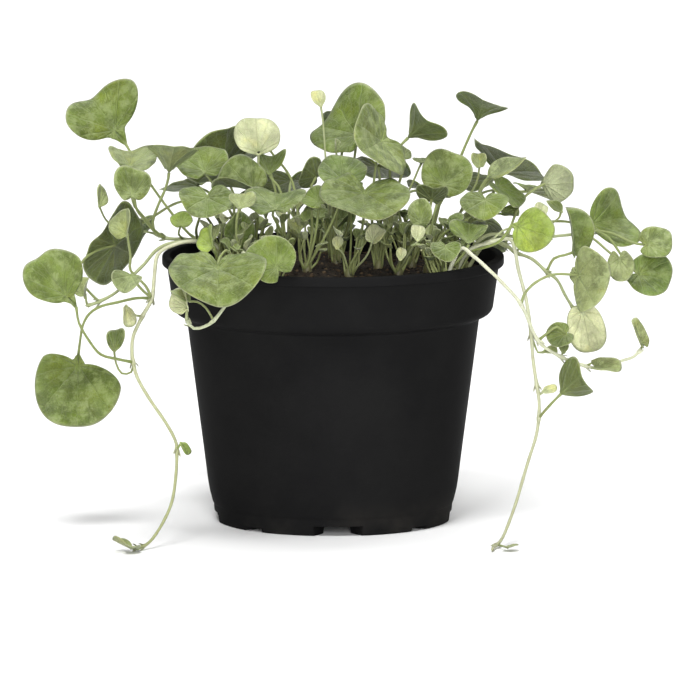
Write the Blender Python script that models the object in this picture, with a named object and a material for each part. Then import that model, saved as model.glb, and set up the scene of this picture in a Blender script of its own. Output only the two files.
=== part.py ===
# A potted dichondra: a nursery pot, its soil, and the plant's leafy stems.
# Millimetres in the tables; the scene is in metres, +Z up.
import math

import bmesh
import bpy
from mathutils import Matrix, Vector
from mathutils.bvhtree import BVHTree

MM = 0.001

# Pot, in millimetres
POT_HEIGHT = 82.0
LIP_RADIUS = 52.5
LIP_HEIGHT = 3.0
WALL = 1.0
BAND_TOP_RADIUS = 51.0
BAND_FOOT_RADIUS = 49.1
BAND_FOOT_Z = 65.6
BODY_TOP_RADIUS = 45.0
BODY_TOP_Z = 63.0
STEP_REACH = 3.2
STEP_RISE = 1.3
INSIDE_BAND_RISE = 0.6
INSIDE_BODY_RISE = 0.8
BODY_LOW_RADIUS = 38.2
BODY_LOW_Z = 10.4
GROOVE_RADIUS = 36.8
GROOVE_Z = 5.6
FOOT_RADIUS = 36.0
FOOT_FLARE = 0.6
FOOT_INNER_RADIUS = 30.0
FLOOR_LOW_Z = 3.8
FLOOR_TOP_Z = 5.2
POT_SIDES = 36
GAP = 0.3
SOIL_WALL_GAP = 0.6
SOIL_FLOOR_GAP = 0.5
SOIL_FOOT_GAP = 1.2

# Foot notches: angle of the first from the front, half width, height
WIDE_NOTCH = (2.5, 13.1, 3.0)
NARROW_NOTCH = (47.5, 6.3, 1.2)
NOTCH_OUTER_SHARE = 1.04
NOTCH_INNER_SHARE = 0.5
DRAIN_RADIUS = 3.0
DRAIN_RING = 22.0
DRAIN_COUNT = 8


# The view that the leaves were placed in: level enough to see just inside the rim
VIEW_TILT = math.radians(8.3)
VIEW_COS = math.cos(VIEW_TILT)
VIEW_SIN = math.sin(VIEW_TILT)
TO_VIEWER = Vector((0, -VIEW_COS, VIEW_SIN))
VIEW_UP = Vector((0, VIEW_SIN, VIEW_COS))

# Leaf and stem sizes, in millimetres
BLADE_THICKNESS = 0.7
PETIOLE_RADIUS = 0.58
RUNNER_RADIUS = 0.75
STUB_RADIUS = 1.5
STUB_DEPTH = 8.0
STUB_SIDES = 6
STUB_RISE = 2.0
CROWN_RISE = 0.6
HOLE_RADIUS = 2.1
SMALLEST_SOLID = 4.5
SINUS_SHARE = 0.12
SINUS_RADIUS = 0.75
CLEARANCE = 0.22
LOWEST_Z = 0.05

# Where a petiole joins a blade's neck, as a share of its length, and the neck's half width in degrees
NECK_JOIN = 0.8
NECK_ANGLE = 18.0

# Soil surface, in millimetres
SOIL_EDGE_Z = 76.0
SOIL_RISE = 3.0
SOIL_RADIUS = 49.0
SOIL_SIDES = 28

# Depth shifts and bows that a leaf may take to pass its neighbours, in millimetres
DEPTH_SHIFTS = (0, 2, -2, 4, -4, 6, -6, 9, -9, 12, -12, 16, -16)
PETIOLE_BOWS = (0, 3, -3, 6, -6, 10, -10)

# How much every blade waves, twists and ripples along its margin, as shares of its radius
WAVE = 0.07
SADDLE = 0.06
MARGIN_RIPPLES = ((3, 1, 0.03), (5, 2, 0.02))
TIP_NOTCH_ANGLE = 16.0
FUNNEL_REACH = 0.3

# Leaf forms: how the blade opens round its junction and how it bends
FORMS = {
    "kidney": dict(offset=0.42, open=163, soft=20, aspect=1.08, notch=0.04, roll=0.25, curl=0.1, fold=6,
                   funnel=0.1),
    "fan": dict(offset=0.78, open=100, soft=35, aspect=1.15, notch=0.08, roll=0.35, curl=0.15, fold=10,
                funnel=0.2),
    "funnel": dict(offset=0.7, open=105, soft=60, aspect=1.15, notch=0.06, roll=0.8, curl=0.3, fold=14,
                   funnel=0.3),
    "folded": dict(offset=0.5, open=150, soft=20, aspect=1.1, notch=0.03, roll=0.4, curl=0.1, fold=38,
                   funnel=0.1),
    "drooped": dict(offset=0.45, open=160, soft=20, aspect=1.08, notch=0.03, roll=-0.5, curl=-0.6, fold=6,
                    funnel=0.12),
    "young": dict(offset=0.85, open=95, soft=25, aspect=0.75, notch=0.0, roll=0.8, curl=0.2, fold=22,
                  funnel=0.1),
}


def seen(across, up, back):
    """A point by its place in the view (across, up) and its depth behind the pot's axis."""
    return Vector((across, back, (up - back * VIEW_SIN) / VIEW_COS))


def placed(x, y, z):
    """The same three view values for a point given in the pot's own axes."""
    return (x, z * VIEW_COS + y * VIEW_SIN, y)


def soil_height(x, y):
    return SOIL_EDGE_Z + SOIL_RISE * (1 - (x * x + y * y) / SOIL_RADIUS ** 2)


def shown(spin, face, turn=0):
    """Blade axes by what the view shows: tip direction clockwise from up, how far the upper
    face turns from the viewer, and the direction that it turns to."""
    spin, face, turn = math.radians(spin), math.radians(face), math.radians(turn)
    tip = Vector((math.sin(spin), 0, 0)) + VIEW_UP * math.cos(spin)
    aside = Vector((math.sin(turn), 0, 0)) + VIEW_UP * math.cos(turn)
    normal = TO_VIEWER * math.cos(face) + aside * math.sin(face)
    lift = -math.sin(face) * math.cos(spin - turn) / math.cos(face)
    along = (tip + TO_VIEWER * lift).normalized()
    return Matrix((along.cross(normal), along, normal)).transposed()


def laid(azimuth, tilt, roll=0):
    """Blade axes in plan: tip azimuth clockwise from the back, slope down towards the tip."""
    turn = Matrix.Rotation(-math.radians(azimuth), 3, "Z")
    slope = Matrix.Rotation(-math.radians(tilt), 3, "X")
    bank = Matrix.Rotation(math.radians(roll), 3, "Y")
    return turn @ slope @ bank


class Leaf:
    def __init__(self, stem, root, via, junction, width, axes, form, tone, phase, changes):
        self.stem = stem
        self.root = root
        self.via = via
        self.junction = junction
        self.width = width
        self.axes = axes
        self.shape = dict(skew=0.0, lop=0.0, waist=SINUS_SHARE, neck=0.0, wave=WAVE, saddle=SADDLE)
        self.shape.update(FORMS[form])
        self.shape.update(changes)
        self.tone = tone
        self.phase = phase
        self.shift = 0
        self.bow = 0


class Stem:
    def __init__(self, name, base, route):
        self.name = name
        self.base = base
        self.route = route
        self.leaves = []


STEMS = {}


def stem(name, base, route=()):
    STEMS[name] = Stem(name, base, list(route))


def leaf(stem_name, root, via, junction, width, axes, form, tone, **changes):
    """root is None for the crown, or the number of the route point that the petiole leaves."""
    count = sum(len(item.leaves) for item in STEMS.values())
    phase = (count * 2.399) % math.tau
    item = Leaf(stem_name, root, via, junction, width, axes, form, tone, phase, changes)
    STEMS[stem_name].leaves.append(item)


# Runners over the left of the rim, and what they carry
stem("left_trail", (-33, -12), [
    (-36, 83.3, -13), (-43, 85, -15), (-49.5, 83.6, -17), (-53.6, 80.8, -18), (-54.6, 74.5, -19),
    (-55.4, 67.5, -20), (-58.3, 62, -22), (-61, 56, -25), (-61.4, 51, -27), (-61, 48, -28),
    (-59.8, 43.5, -30), (-56.3, 37.3, -33), (-51, 29.6, -37), (-48.2, 24.5, -40), (-47.6, 21.3, -42),
    (-47.8, 14, -46), (-48.9, 6, -51), (-51.4, -0.2, -55), (-54.8, -5.6, -59), (-57.6, -7.9, -62.5),
    (-60.6, -8.4, -65.5)])
leaf("left_trail", 5, [(-60, 67.6), (-66, 66.3), (-71, 65.1), (-74.6, 62.8), (-76.6, 59.3), (-77.4, 55)],
     (-78, 50.4, -12), 27.6, shown(181, 16, 0), "funnel", "sage", offset=0.5, open=107, lop=-18, soft=30,
     aspect=0.9, fold=12, curl=0.15, roll=0.35, funnel=0.3, waist=0.17, neck=0.32)
leaf("left_trail", 9, [(-66, 49), (-70.9, 50.4), (-74.4, 54.6), (-77.4, 60)],
     (-78.2, 64.8, -38), 20.4, shown(-42, 22, 17), "fan", "sage", offset=0.5, open=116, soft=60,
     aspect=0.98, notch=0.08, waist=0.25, neck=0.55, fold=14, roll=0.3)
leaf("left_trail", 5, [(-58, 69.8), (-60.3, 72.4)],
     (-61.6, 74.3, -24), 10.5, shown(205, 36, 0), "fan", "pale", fold=24)
leaf("left_trail", 5, [(-57.4, 71.5), (-61.8, 76), (-61.8, 80), (-62.4, 84.6)],
     (-62.8, 87.2, -26), 11, shown(8, 50, -70), "folded", "pale", fold=34)
leaf("left_trail", 6, [(-60.3, 62.3), (-61.8, 64)],
     (-63.4, 65, -24), 6, shown(184, 40, 90), "young", "cream", aspect=0.85)
leaf("left_trail", 9, [(-61.6, 45), (-64.5, 44.6), (-66.2, 47.6)],
     (-66.8, 51.4, -30), 6.3, shown(8, 22, 0), "funnel", "dark", aspect=0.72)
leaf("left_trail", 14, [(-46.9, 22.4)],
     (-46.4, 23.2, -43), 3.6, shown(150, 50, 90), "young", "fresh")
leaf("left_trail", 20, [],
     (-61.4, -8.6, -66.3), 5.2, laid(-72, -14), "young", "pale")
leaf("left_trail", 19, [(-58.6, -8.5)],
     (-59.4, -8.8, -66), 5.4, laid(-150, 0), "young", "pale")

stem("left_runner", (-31, -3), [
    (-36.5, 84.3, -5), (-45, 84.9, -7), (-51, 84.1, -8), (-54.7, 81.8, -8), (-57.6, 78.3, -8),
    (-60.7, 75.2, -9), (-66.3, 69.5, -12), (-71.5, 66.6, -14), (-75.2, 65.3, -14)])
leaf("left_runner", 7, [(-73.2, 68), (-76.4, 71.6), (-78.1, 75.4), (-76.2, 79.6), (-71.6, 82.6)],
     (-66.8, 83.8, 0), 27.5, shown(118, 126, -62), "kidney", "dark", open=158, waist=0.8, aspect=1.2,
     offset=0.25)
leaf("left_runner", 8, [(-75.6, 67)],
     (-75.8, 69, -10), 8, shown(10, 50, -90), "folded", "pale")

stem("left_upper", (-33, 6), [
    (-37.5, 85, 6), (-41.5, 85.6, 6), (-46, 85.7, 6), (-51.5, 86.1, 6), (-54.6, 87.4, 6)])
leaf("left_upper", 4, [(-55.4, 91), (-53.8, 96), (-51.6, 101), (-50.6, 104.4)],
     (-50.4, 106.2, 8), 19, shown(24, 108, 6), "funnel", "mottled", funnel=0.5, roll=0.3, curl=0.1,
     offset=0.3)
leaf("left_upper", 3, [(-54.6, 87.9), (-57.1, 90.8), (-60.1, 94.6), (-60.7, 97.4)],
     (-61.4, 99.2, -4), 13, shown(0, 22, 0), "folded", "mottled", wave=0.16, saddle=0.12, fold=26)
leaf("left_upper", 3, [(-55, 88.6), (-57.6, 92), (-60.9, 95.9), (-61.9, 99.5), (-62.6, 104.6)],
     (-62.4, 108, 8), 16.8, shown(10, 62, 14), "kidney", "pale", fold=24, roll=-0.2)
leaf("left_upper", 4, [(-58, 88.2), (-64, 89), (-69.4, 91.2)],
     (-72, 96, 14), 5.8, shown(-6, 60, 60), "young", "pale")
leaf("left_upper", 1, [(-44.2, 87.4), (-48.2, 92), (-53, 98.3), (-57.5, 104.7), (-61.4, 111)],
     (-64, 115.4, 22), 27, shown(-39, 22, 0), "fan", "sage", offset=0.45, open=123, soft=76, aspect=1.3,
     notch=0.14, roll=0.3, waist=0.26, neck=0.66)
leaf("left_upper", 2, [(-47.4, 87.4)],
     (-46.6, 90.2, 0), 7.2, shown(6, 42, 0), "kidney", "fresh")
leaf("left_upper", 1, [(-42, 88.5), (-40.6, 93), (-39, 96.4)],
     (-38.4, 98.2, -16), 18, shown(180, 48, 0), "kidney", "sage", fold=13)

# Crowns along the left of the soil
stem("left_front", (-31, -21))
leaf("left_front", None, [(-34.6, 79), (-36, 82.4)],
     (-36.9, 85.4, -24), 6.2, shown(-4, 30, 0), "funnel", "pale")
leaf("left_front", None, [(-34.8, 78.5), (-35.6, 80.8)],
     (-36.6, 83.2, -32), 9.4, shown(-8, 62, -60), "folded", "fresh", aspect=0.8)
leaf("left_front", None, [(-30.4, 82)],
     (-30.2, 86, -17), 12.4, shown(14, 42, 100), "kidney", "sage", aspect=1.0)
leaf("left_front", None, [(-28.6, 80.5), (-29.4, 86), (-29.4, 91)],
     (-28.6, 94.8, -27), 8.8, shown(24, 58, 10), "fan", "pale")

stem("left_back", (-25, 9))
leaf("left_back", None, [(-27.5, 86), (-32.5, 96), (-37, 103)],
     (-39.5, 106.4, 8), 17, shown(-20, 50, -6), "kidney", "green")
leaf("left_back", None, [(-23.5, 87), (-23.2, 94), (-23.6, 99)],
     (-24.3, 100.6, -4), 20, shown(-84, 62, 0), "folded", "sage", fold=26)
leaf("left_back", None, [(-26.4, 88), (-30, 98), (-33, 106)],
     (-33.6, 109.1, 22), 24, shown(-39, 126, -39), "kidney", "dark", waist=0.5, offset=0.25)
leaf("left_back", None, [(-23.8, 88), (-23.6, 98), (-23, 107)],
     (-22.8, 112, 3), 14.8, shown(-4, 16, 0), "fan", "cream", open=112)

stem("left_centre", (-16, -6))
leaf("left_centre", None, [(-15.4, 88), (-16, 100), (-18.8, 104.2)],
     (-19.6, 105.6, 4), 10.8, shown(16, 50, 0), "funnel", "green")
leaf("left_centre", None, [(-11, 88), (-12.4, 103), (-18.4, 111.8)],
     (-21.4, 115.5, 12), 12, shown(-12, 140, -10), "kidney", "dark")
leaf("left_centre", None, [(-15.5, 86.5), (-18.4, 93)],
     (-17.6, 94.6, -14), 19, shown(4, 66, -8), "kidney", "sage")

leaf("left_centre", None, [],
     (-11.6, 88.4, -5), 5.4, shown(30, 48, 0), "young", "green", aspect=0.9)

stem("front_left", (-17, -30))
leaf("front_left", None, [(-17, 80.2, -44)],
     (-17.1, 76.6, -54), 16, shown(-38, 14, 0), "kidney", "green", roll=0.5)

# Runner that hangs over the front left of the rim, with the large leaf beside it
stem("front_runner", (-27, -33), [
    (-27.4, 80.8, -42), (-26.6, 79.4, -50), (-27.6, 73.4, -58), (-29.4, 69.4, -60), (-32.7, 65, -59),
    (-36.1, 60.7, -58), (-38.9, 58.9, -57), (-42.2, 58.3, -56), (-44.4, 60.6, -55)])
leaf("front_runner", None, [(-31.5, 81.6), (-34.4, 79.6)],
     (-34.9, 76.3, -48), 30, shown(180, 54, 0), "kidney", "sage", open=166)
leaf("front_runner", 8, [(-44.4, 62.6)],
     (-44.3, 64.6, -55), 9.5, shown(-14, 40, -90), "folded", "cream")
leaf("front_runner", 5, [(-38.6, 64.6), (-41.2, 66.4)],
     (-43.6, 66.4, -57), 5.5, shown(-70, 50, 0), "young", "pale")

# Crowns across the middle of the soil
stem("centre_tall", (1, 3))
leaf("centre_tall", None, [(4.6, 90), (5.8, 104), (7, 114)],
     (7.4, 117.6, 12), 25.6, shown(-32, 50, -32), "kidney", "green", notch=0.0, roll=0.15, fold=5,
     aspect=1.0, offset=0.4)
leaf("centre_tall", None, [(-1, 90), (-2, 106), (-3, 121)],
     (-3.8, 126.8, 14), 5.4, shown(-20, 30, 0), "young", "cream", aspect=1.0)
leaf("centre_tall", None, [(0, 92), (1.2, 106), (1, 112.6)],
     (0.8, 113.2, 2), 3, shown(-6, 50, 90), "young", "pale")

leaf("centre_tall", None, [(-1.6, 86)],
     (-3.6, 92.6, 5), 6.4, shown(-16, 56, 0), "kidney", "green")

stem("centre_left", (-8, -12))
leaf("centre_left", None, [(-6.4, 88), (-7, 100)],
     (-5.2, 104.8, 3), 10.5, shown(-48, 126, -60), "kidney", "dark")
leaf("centre_left", None, [(-5.6, 86), (-4.6, 93)],
     (-4.3, 96.6, -8), 10, shown(-58, 48, 0), "kidney", "green")
leaf("centre_left", None, [(-1.6, 88), (2.6, 98)],
     (3, 103.4, -4), 16, shown(-4, 48, 0), "kidney", "green")

leaf("centre_left", None, [],
     (-10.6, 87.6, -13), 5.2, shown(-30, 40, 0), "young", "pale", aspect=0.9)

stem("centre_front", (5, -22))
leaf("centre_front", None, [(8, 84), (9.6, 94)],
     (9.6, 99.4, -20), 28.5, shown(186, 54, 4), "kidney", "sage", fold=9)
leaf("centre_front", None, [(10, 80)],
     (12.1, 84.9, -25), 8, shown(36, 34, 0), "folded", "cream")
leaf("centre_front", None, [(5.6, 88), (5.4, 96)],
     (5.6, 100.8, -8), 6.8, shown(12, 56, 0), "kidney", "green")

leaf("centre_front", None, [],
     (1.3, 82.8, -25), 4.2, shown(8, 40, 0), "young", "cream", aspect=1.0)

stem("centre_twist", (14, -7))
leaf("centre_twist", None, [(12, 90), (12.6, 104)],
     (14.6, 115.6, -6), 24.5, shown(-122, 56, 58), "kidney", "mottled", fold=12, waist=0.3)
leaf("centre_twist", None, [(16, 90), (20.6, 104), (21.6, 107.6)],
     (21, 110.2, 8), 10, shown(-70, 62, 0), "kidney", "dark")
leaf("centre_twist", None, [(17, 90), (23.4, 101), (26.4, 107.6)],
     (27.2, 109.2, 12), 7.6, shown(80, 80, 6), "kidney", "dark")

leaf("centre_twist", None, [],
     (17.2, 89.4, -8), 5.2, shown(24, 44, 0), "young", "pale", aspect=0.9)

stem("centre_right", (20, -16))
leaf("centre_right", None, [(23.6, 82), (26.2, 87)],
     (26.8, 90.8, -20), 9.2, shown(-6, 20, 0), "folded", "mottled", fold=32, aspect=0.98)
leaf("centre_right", None, [(22.2, 79.6), (24.4, 83)],
     (25.9, 85.2, -26), 5.4, shown(4, 40, 0), "young", "cream", aspect=1.0)
leaf("centre_right", None, [(24, 84), (28.8, 92)],
     (30.2, 97.8, -10), 10, shown(4, 130, 0), "kidney", "dark")

leaf("centre_right", None, [],
     (20.6, 79.4, -26), 4, shown(12, 36, 0), "young", "cream", aspect=1.0)

stem("right_tall", (24, 2))
leaf("right_tall", None, [(20.6, 92), (17.4, 105), (19.6, 112.8)],
     (23, 116.8, 4), 15.5, shown(50, 112, 50), "funnel", "green", roll=0.3, curl=0.1, funnel=0.55)
leaf("right_tall", None, [(30.5, 92), (36.6, 104), (39.6, 112), (42.5, 118.6)],
     (44.4, 122.2, 20), 17.5, shown(12, 100, 14), "funnel", "green", roll=-0.15, curl=0.1, funnel=0.5,
     saddle=0.0, wave=0.03)

stem("right_mid", (29, -9))
leaf("right_mid", None, [(30, 88), (32, 97)],
     (34, 102.3, -4), 17, shown(18, 24, 0), "kidney", "sage", fold=12)
leaf("right_mid", None, [(35, 86), (43, 93.4), (46, 96)],
     (46.5, 97.4, -14), 15, shown(184, 50, 0), "kidney", "sage")

leaf("right_mid", None, [],
     (36.4, 89, -13), 5.4, shown(40, 50, 0), "young", "green", aspect=0.9)

stem("right_rim", (33, -24))
leaf("right_rim", None, [(39.4, 80.4)],
     (41.5, 84, -27), 13, shown(2, 72, 0), "funnel", "green", roll=0.3)
leaf("right_rim", None, [(33.8, 79.4)],
     (34.3, 82.8, -36), 10, shown(182, 48, 0), "kidney", "green", roll=0.5)

stem("right_back", (33, 7))
leaf("right_back", None, [(41, 92), (47, 103)],
     (52.4, 106.4, 24), 27, shown(30, 102, 28), "kidney", "dark")
leaf("right_back", None, [(39, 94), (44, 103)],
     (45, 108.4, 6), 6.2, shown(-12, 25, 0), "folded", "pale")
leaf("right_back", None, [(41.4, 92), (45.6, 102)],
     (47.8, 104.6, 0), 9.5, shown(78, 52, -10), "young", "pale", aspect=0.7)
leaf("right_back", None, [(42.6, 92), (48, 98.6)],
     (50.4, 101.6, 4), 13, shown(132, 60, 42), "kidney", "green", aspect=0.95)
leaf("right_back", None, [(41, 90), (48.4, 93.2)],
     (52.8, 93.6, 6), 7.2, shown(96, 62, 0), "kidney", "green")

# Runners over the right of the rim
stem("right_trail", (37, -16), [
    (41.5, 82, -19), (48, 84.6, -22), (54, 85.6, -24), (55.6, 82, -25), (56.6, 76.3, -25.5),
    (59, 67, -27), (60.5, 56.3, -29), (61.1, 48.6, -31), (62.2, 41, -33), (62.9, 36.3, -34),
    (62.8, 31, -36), (61.9, 25.2, -38), (59.6, 18, -41), (57.8, 12, -44), (55.9, 5.6, -47),
    (53.6, -0.8, -51), (51.6, -5.4, -55), (50, -7.4, -59), (48.8, -8.2, -63), (48.4, -8.8, -67)])
leaf("right_trail", 0, [(46, 83), (51, 85)],
     (54.6, 90, -27), 15, shown(112, 16, 0), "fan", "fresh", offset=0.5, open=108, soft=44, aspect=0.97,
     notch=0.02, roll=0.2, waist=0.22, neck=0.3)
leaf("right_trail", 1, [(51.6, 88), (55.4, 89.4), (59, 90.6)],
     (63, 92.2, -14), 5.4, shown(24, 30, 0), "young", "cream", aspect=1.1)
leaf("right_trail", 10, [(65, 33.6), (67.4, 36.2)],
     (69.6, 38.4, -38), 14, shown(48, 132, 45), "funnel", "dark", roll=0.5)
leaf("right_trail", 8, [(63.4, 38.2)],
     (64.2, 38.9, -34), 3.6, shown(80, 30, 0), "young", "cream")
leaf("right_trail", 6, [(62.6, 51)],
     (64.4, 51, -29), 3.6, shown(96, 50, 0), "young", "pale")
leaf("right_trail", 17, [(52, -8)],
     (53.2, -8.3, -63.5), 5.6, laid(130, -6), "kidney", "pale")

stem("pale_trail", (34, -31), [
    (38.6, 82.4, -31.5), (42.8, 80.3, -35.5), (47, 76.6, -38), (51.4, 72.4, -38), (57.4, 65.5, -36),
    (62.6, 54.6, -34), (69.7, 49.6, -32), (77.4, 46.8, -30), (82, 46.4, -29), (88, 48.4, -27),
    (92, 49.7, -25), (94.2, 52, -24)])
leaf("pale_trail", 7, [(79, 47.8)],
     (80.6, 46.4, -31), 7.4, shown(98, 35, 0), "folded", "pale", aspect=0.7)
leaf("pale_trail", 4, [(58.2, 68.4), (60.6, 71.4), (64.4, 73.8), (68.4, 74.9)],
     (74.9, 74.6, -30), 22, shown(94, 40, -88), "fan", "pale", offset=0.35, open=86, soft=34,
     notch=0.06, waist=0.24, skew=0.13, aspect=1.0)
leaf("pale_trail", 5, [(65.6, 57), (68.4, 58.8)],
     (70.8, 56.5, -32), 9.2, shown(-112, 30, 0), "kidney", "dark")
leaf("pale_trail", 6, [(70, 50.6)],
     (70.4, 51, -30), 4, shown(4, 40, 0), "young", "dark", aspect=1.2)
leaf("pale_trail", 11, [(94.4, 53)],
     (94.2, 53.8, -24), 6.4, shown(-28, 44, 60), "folded", "pale", aspect=0.6, wave=0.0)

stem("right_runner", (41, -4), [
    (47, 84.8, -6), (52.8, 83.8, -8), (56, 81.6, -8), (61, 79.6, -10), (65.4, 75.7, -12),
    (68.6, 73.2, -14), (71, 68.6, -16), (73.4, 64.6, -18)])
leaf("right_runner", 7, [(74.8, 65)],
     (76.4, 63.4, -20), 12.2, shown(170, 20, 0), "kidney", "cream", offset=0.7, open=130, roll=0.4,
     aspect=0.7)
leaf("right_runner", 4, [(67.6, 79.7), (71, 80.8)],
     (74, 81.8, -10), 12, shown(-8, 38, 84), "folded", "green", offset=0.7, aspect=0.68)
leaf("right_runner", 1, [(54, 88), (57.6, 97), (61.4, 100.8)],
     (65, 102.8, 12), 12.6, shown(88, 152, 90), "fan", "pale", offset=0.5, open=108, soft=40, aspect=1.05,
     waist=0.28, wave=0.1)
leaf("right_runner", 2, [(60, 86), (66.6, 90.2), (69.4, 92.4)],
     (69.9, 94, -4), 4.6, shown(-60, 50, 0), "young", "dark")

stem("right_outer", (38, 6), [
    (47, 86.8, 9), (56, 86.6, 12), (66, 86.6, 14), (76, 87.6, 16), (80.4, 88.6, 17)])
leaf("right_outer", 2, [(62, 90.2), (70, 91.4)],
     (77.2, 90.2, 20), 21.5, shown(82, 34, 60), "fan", "green", offset=0.5, open=120, soft=56,
     aspect=1.2, notch=0.04, waist=0.26, neck=0.42, fold=22, roll=0.3, skew=0.08)
leaf("right_outer", 4, [(86, 87.6), (92, 84.8)],
     (96.9, 84, 12), 11.8, shown(84, 28, 0), "kidney", "mottled")
leaf("right_outer", 4, [(85, 86), (90, 79)],
     (94, 74.8, 8), 16, shown(106, 34, 20), "kidney", "green")
leaf("right_outer", 3, [(80, 86), (84.6, 82)],
     (88, 79.4, 2), 8.4, shown(172, 20, 0), "kidney", "pale", aspect=0.75)


# Crowns at the back of the soil, with leaves that the front view hides
stem("back_left", (-31, 20))
leaf("back_left", None, [],
     placed(-42, 38, 98), 19, laid(-40, 24), "kidney", "sage")
leaf("back_left", None, [placed(-44, 44, 92)[:2]],
     placed(-60, 52, 84), 20, laid(-62, 40), "drooped", "green")
leaf("back_left", None, [],
     placed(-30, 52, 92), 17, laid(-20, 34), "kidney", "green")

stem("back_inner_left", (-14, 23))
leaf("back_inner_left", None, [],
     placed(-24, 40, 109), 19, laid(-30, 30), "kidney", "sage")
leaf("back_inner_left", None, [],
     placed(-13, 50, 98), 18, laid(-10, 38), "kidney", "green")

stem("back_middle", (0, 19))
leaf("back_middle", None, [],
     placed(5, 36, 118), 20, laid(10, 34), "kidney", "green")
leaf("back_middle", None, [],
     placed(-1, 56, 90), 17, laid(-6, 46), "drooped", "sage")

stem("back_inner_right", (15, 22))
leaf("back_inner_right", None, [],
     placed(14, 44, 103), 19, laid(16, 36), "kidney", "sage")
leaf("back_inner_right", None, [],
     placed(28, 46, 96), 16, laid(34, 30), "kidney", "green")

stem("back_right", (29, 21))
leaf("back_right", None, [],
     placed(38, 34, 101), 18, laid(40, 26), "kidney", "green")
leaf("back_right", None, [],
     placed(46, 46, 86), 19, laid(52, 40), "drooped", "sage")
leaf("back_right", None, [],
     placed(60, 40, 96), 17, laid(64, 28), "kidney", "mottled")

stem("back_left_runner", (-25, 35), [
    placed(-30, 42, 84.5), placed(-36, 49, 82.5), placed(-39, 54, 75), placed(-38, 57, 64),
    placed(-35, 60, 52), placed(-33, 63, 40)])
leaf("back_left_runner", 2, [],
     placed(-42, 66, 70), 18, laid(-20, 62), "drooped", "sage")
leaf("back_left_runner", 4, [],
     placed(-29, 70, 49), 17, laid(10, 66), "drooped", "green")
leaf("back_left_runner", 5, [],
     placed(-32, 66, 34), 11, laid(-14, 70), "kidney", "pale")

stem("back_trail", (-3, 39), [
    placed(-3, 48, 86), placed(-1, 56, 84), placed(1, 61, 74), placed(3, 64, 60), placed(4, 66, 46),
    placed(7, 68, 32), placed(10, 70, 19), placed(13, 72, 8), placed(17, 75, 2), placed(22, 78, 0.9),
    placed(27, 79, 0.9)])
leaf("back_trail", 2, [],
     placed(-8, 74, 66), 20, laid(-24, 60), "drooped", "green")
leaf("back_trail", 4, [],
     placed(12, 76, 44), 17, laid(26, 62), "drooped", "sage")
leaf("back_trail", 6, [],
     placed(3, 78, 19), 14, laid(-30, 50), "kidney", "mottled")
leaf("back_trail", 10, [],
     placed(28.4, 79.2, 1), 6, laid(70, -12), "young", "pale")

stem("back_right_runner", (22, 34), [
    placed(26, 42, 84.5), placed(31, 49, 83), placed(34, 54, 76), placed(34, 57, 66),
    placed(32, 60, 56)])
leaf("back_right_runner", 1, [],
     placed(22, 64, 79), 18, laid(-4, 56), "drooped", "sage")
leaf("back_right_runner", 3, [],
     placed(38, 64, 62), 17, laid(30, 64), "drooped", "green")
leaf("back_right_runner", 4, [],
     placed(30, 66, 50), 12, laid(0, 68), "kidney", "pale")


CHOICES = sorted(((shift, bow) for shift in DEPTH_SHIFTS for bow in PETIOLE_BOWS),
                 key=lambda pair: (abs(pair[0]) + 0.8 * abs(pair[1]), pair))


def curve_through(points, spacing):
    """Points at an even spacing along a smooth curve through the given ones."""
    ends = [points[0] * 2 - points[1]] + list(points) + [points[-1] * 2 - points[-2]]
    path = [points[0].copy()]
    for first, start, end, last in zip(ends, ends[1:], ends[2:], ends[3:]):
        pieces = max(1, round((end - start).length / spacing))
        for step in range(1, pieces + 1):
            t = step / pieces
            tangents = (end - first) * 0.5, (last - start) * 0.5
            path.append(start * (2 * t ** 3 - 3 * t ** 2 + 1) + tangents[0] * (t ** 3 - 2 * t ** 2 + t)
                        + end * (3 * t ** 2 - 2 * t ** 3) + tangents[1] * (t ** 3 - t ** 2))
    return path


def crown_point(item):
    x, y = item.base
    return Vector((x, y, soil_height(x, y) + CROWN_RISE))


def route_points(item):
    """The runner's own points, from inside its crown's stub."""
    return [crown_point(item)] + [seen(*point) for point in item.route]


def petiole_points(item, blade):
    """From the crown or a runner's point, through the places seen, to the blade's junction."""
    if blade.root is None:
        start = placed(*crown_point(item))
    else:
        start = item.route[blade.root]
    across, up, back = blade.junction
    flat = [Vector(point[:2]) for point in (start, *blade.via, (across, up))]
    runs = [(b - a).length for a, b in zip(flat, flat[1:])]
    total = sum(runs) or 1
    points = []
    gone = 0
    for place, run in zip(flat, [0] + runs):
        gone += run
        t = gone / total
        depth = start[2] * (1 - t) + (back + blade.shift) * t + blade.bow * math.sin(math.pi * t)
        points.append(seen(place.x, place.y, depth))
    if len(points) == 2:
        middle = (points[0] + points[1]) / 2
        rise = (points[1] - points[0]).length * 0.22
        points.insert(1, middle + Vector((0, -blade.bow * 0.3, rise)))
    return points


def neck_share(blade, angle):
    """1 along the narrow neck behind the blade's throat, 0 to its sides."""
    if not blade.shape["neck"]:
        return 0
    return math.exp(-((180 - abs(math.degrees(angle))) / NECK_ANGLE) ** 2)


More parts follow.
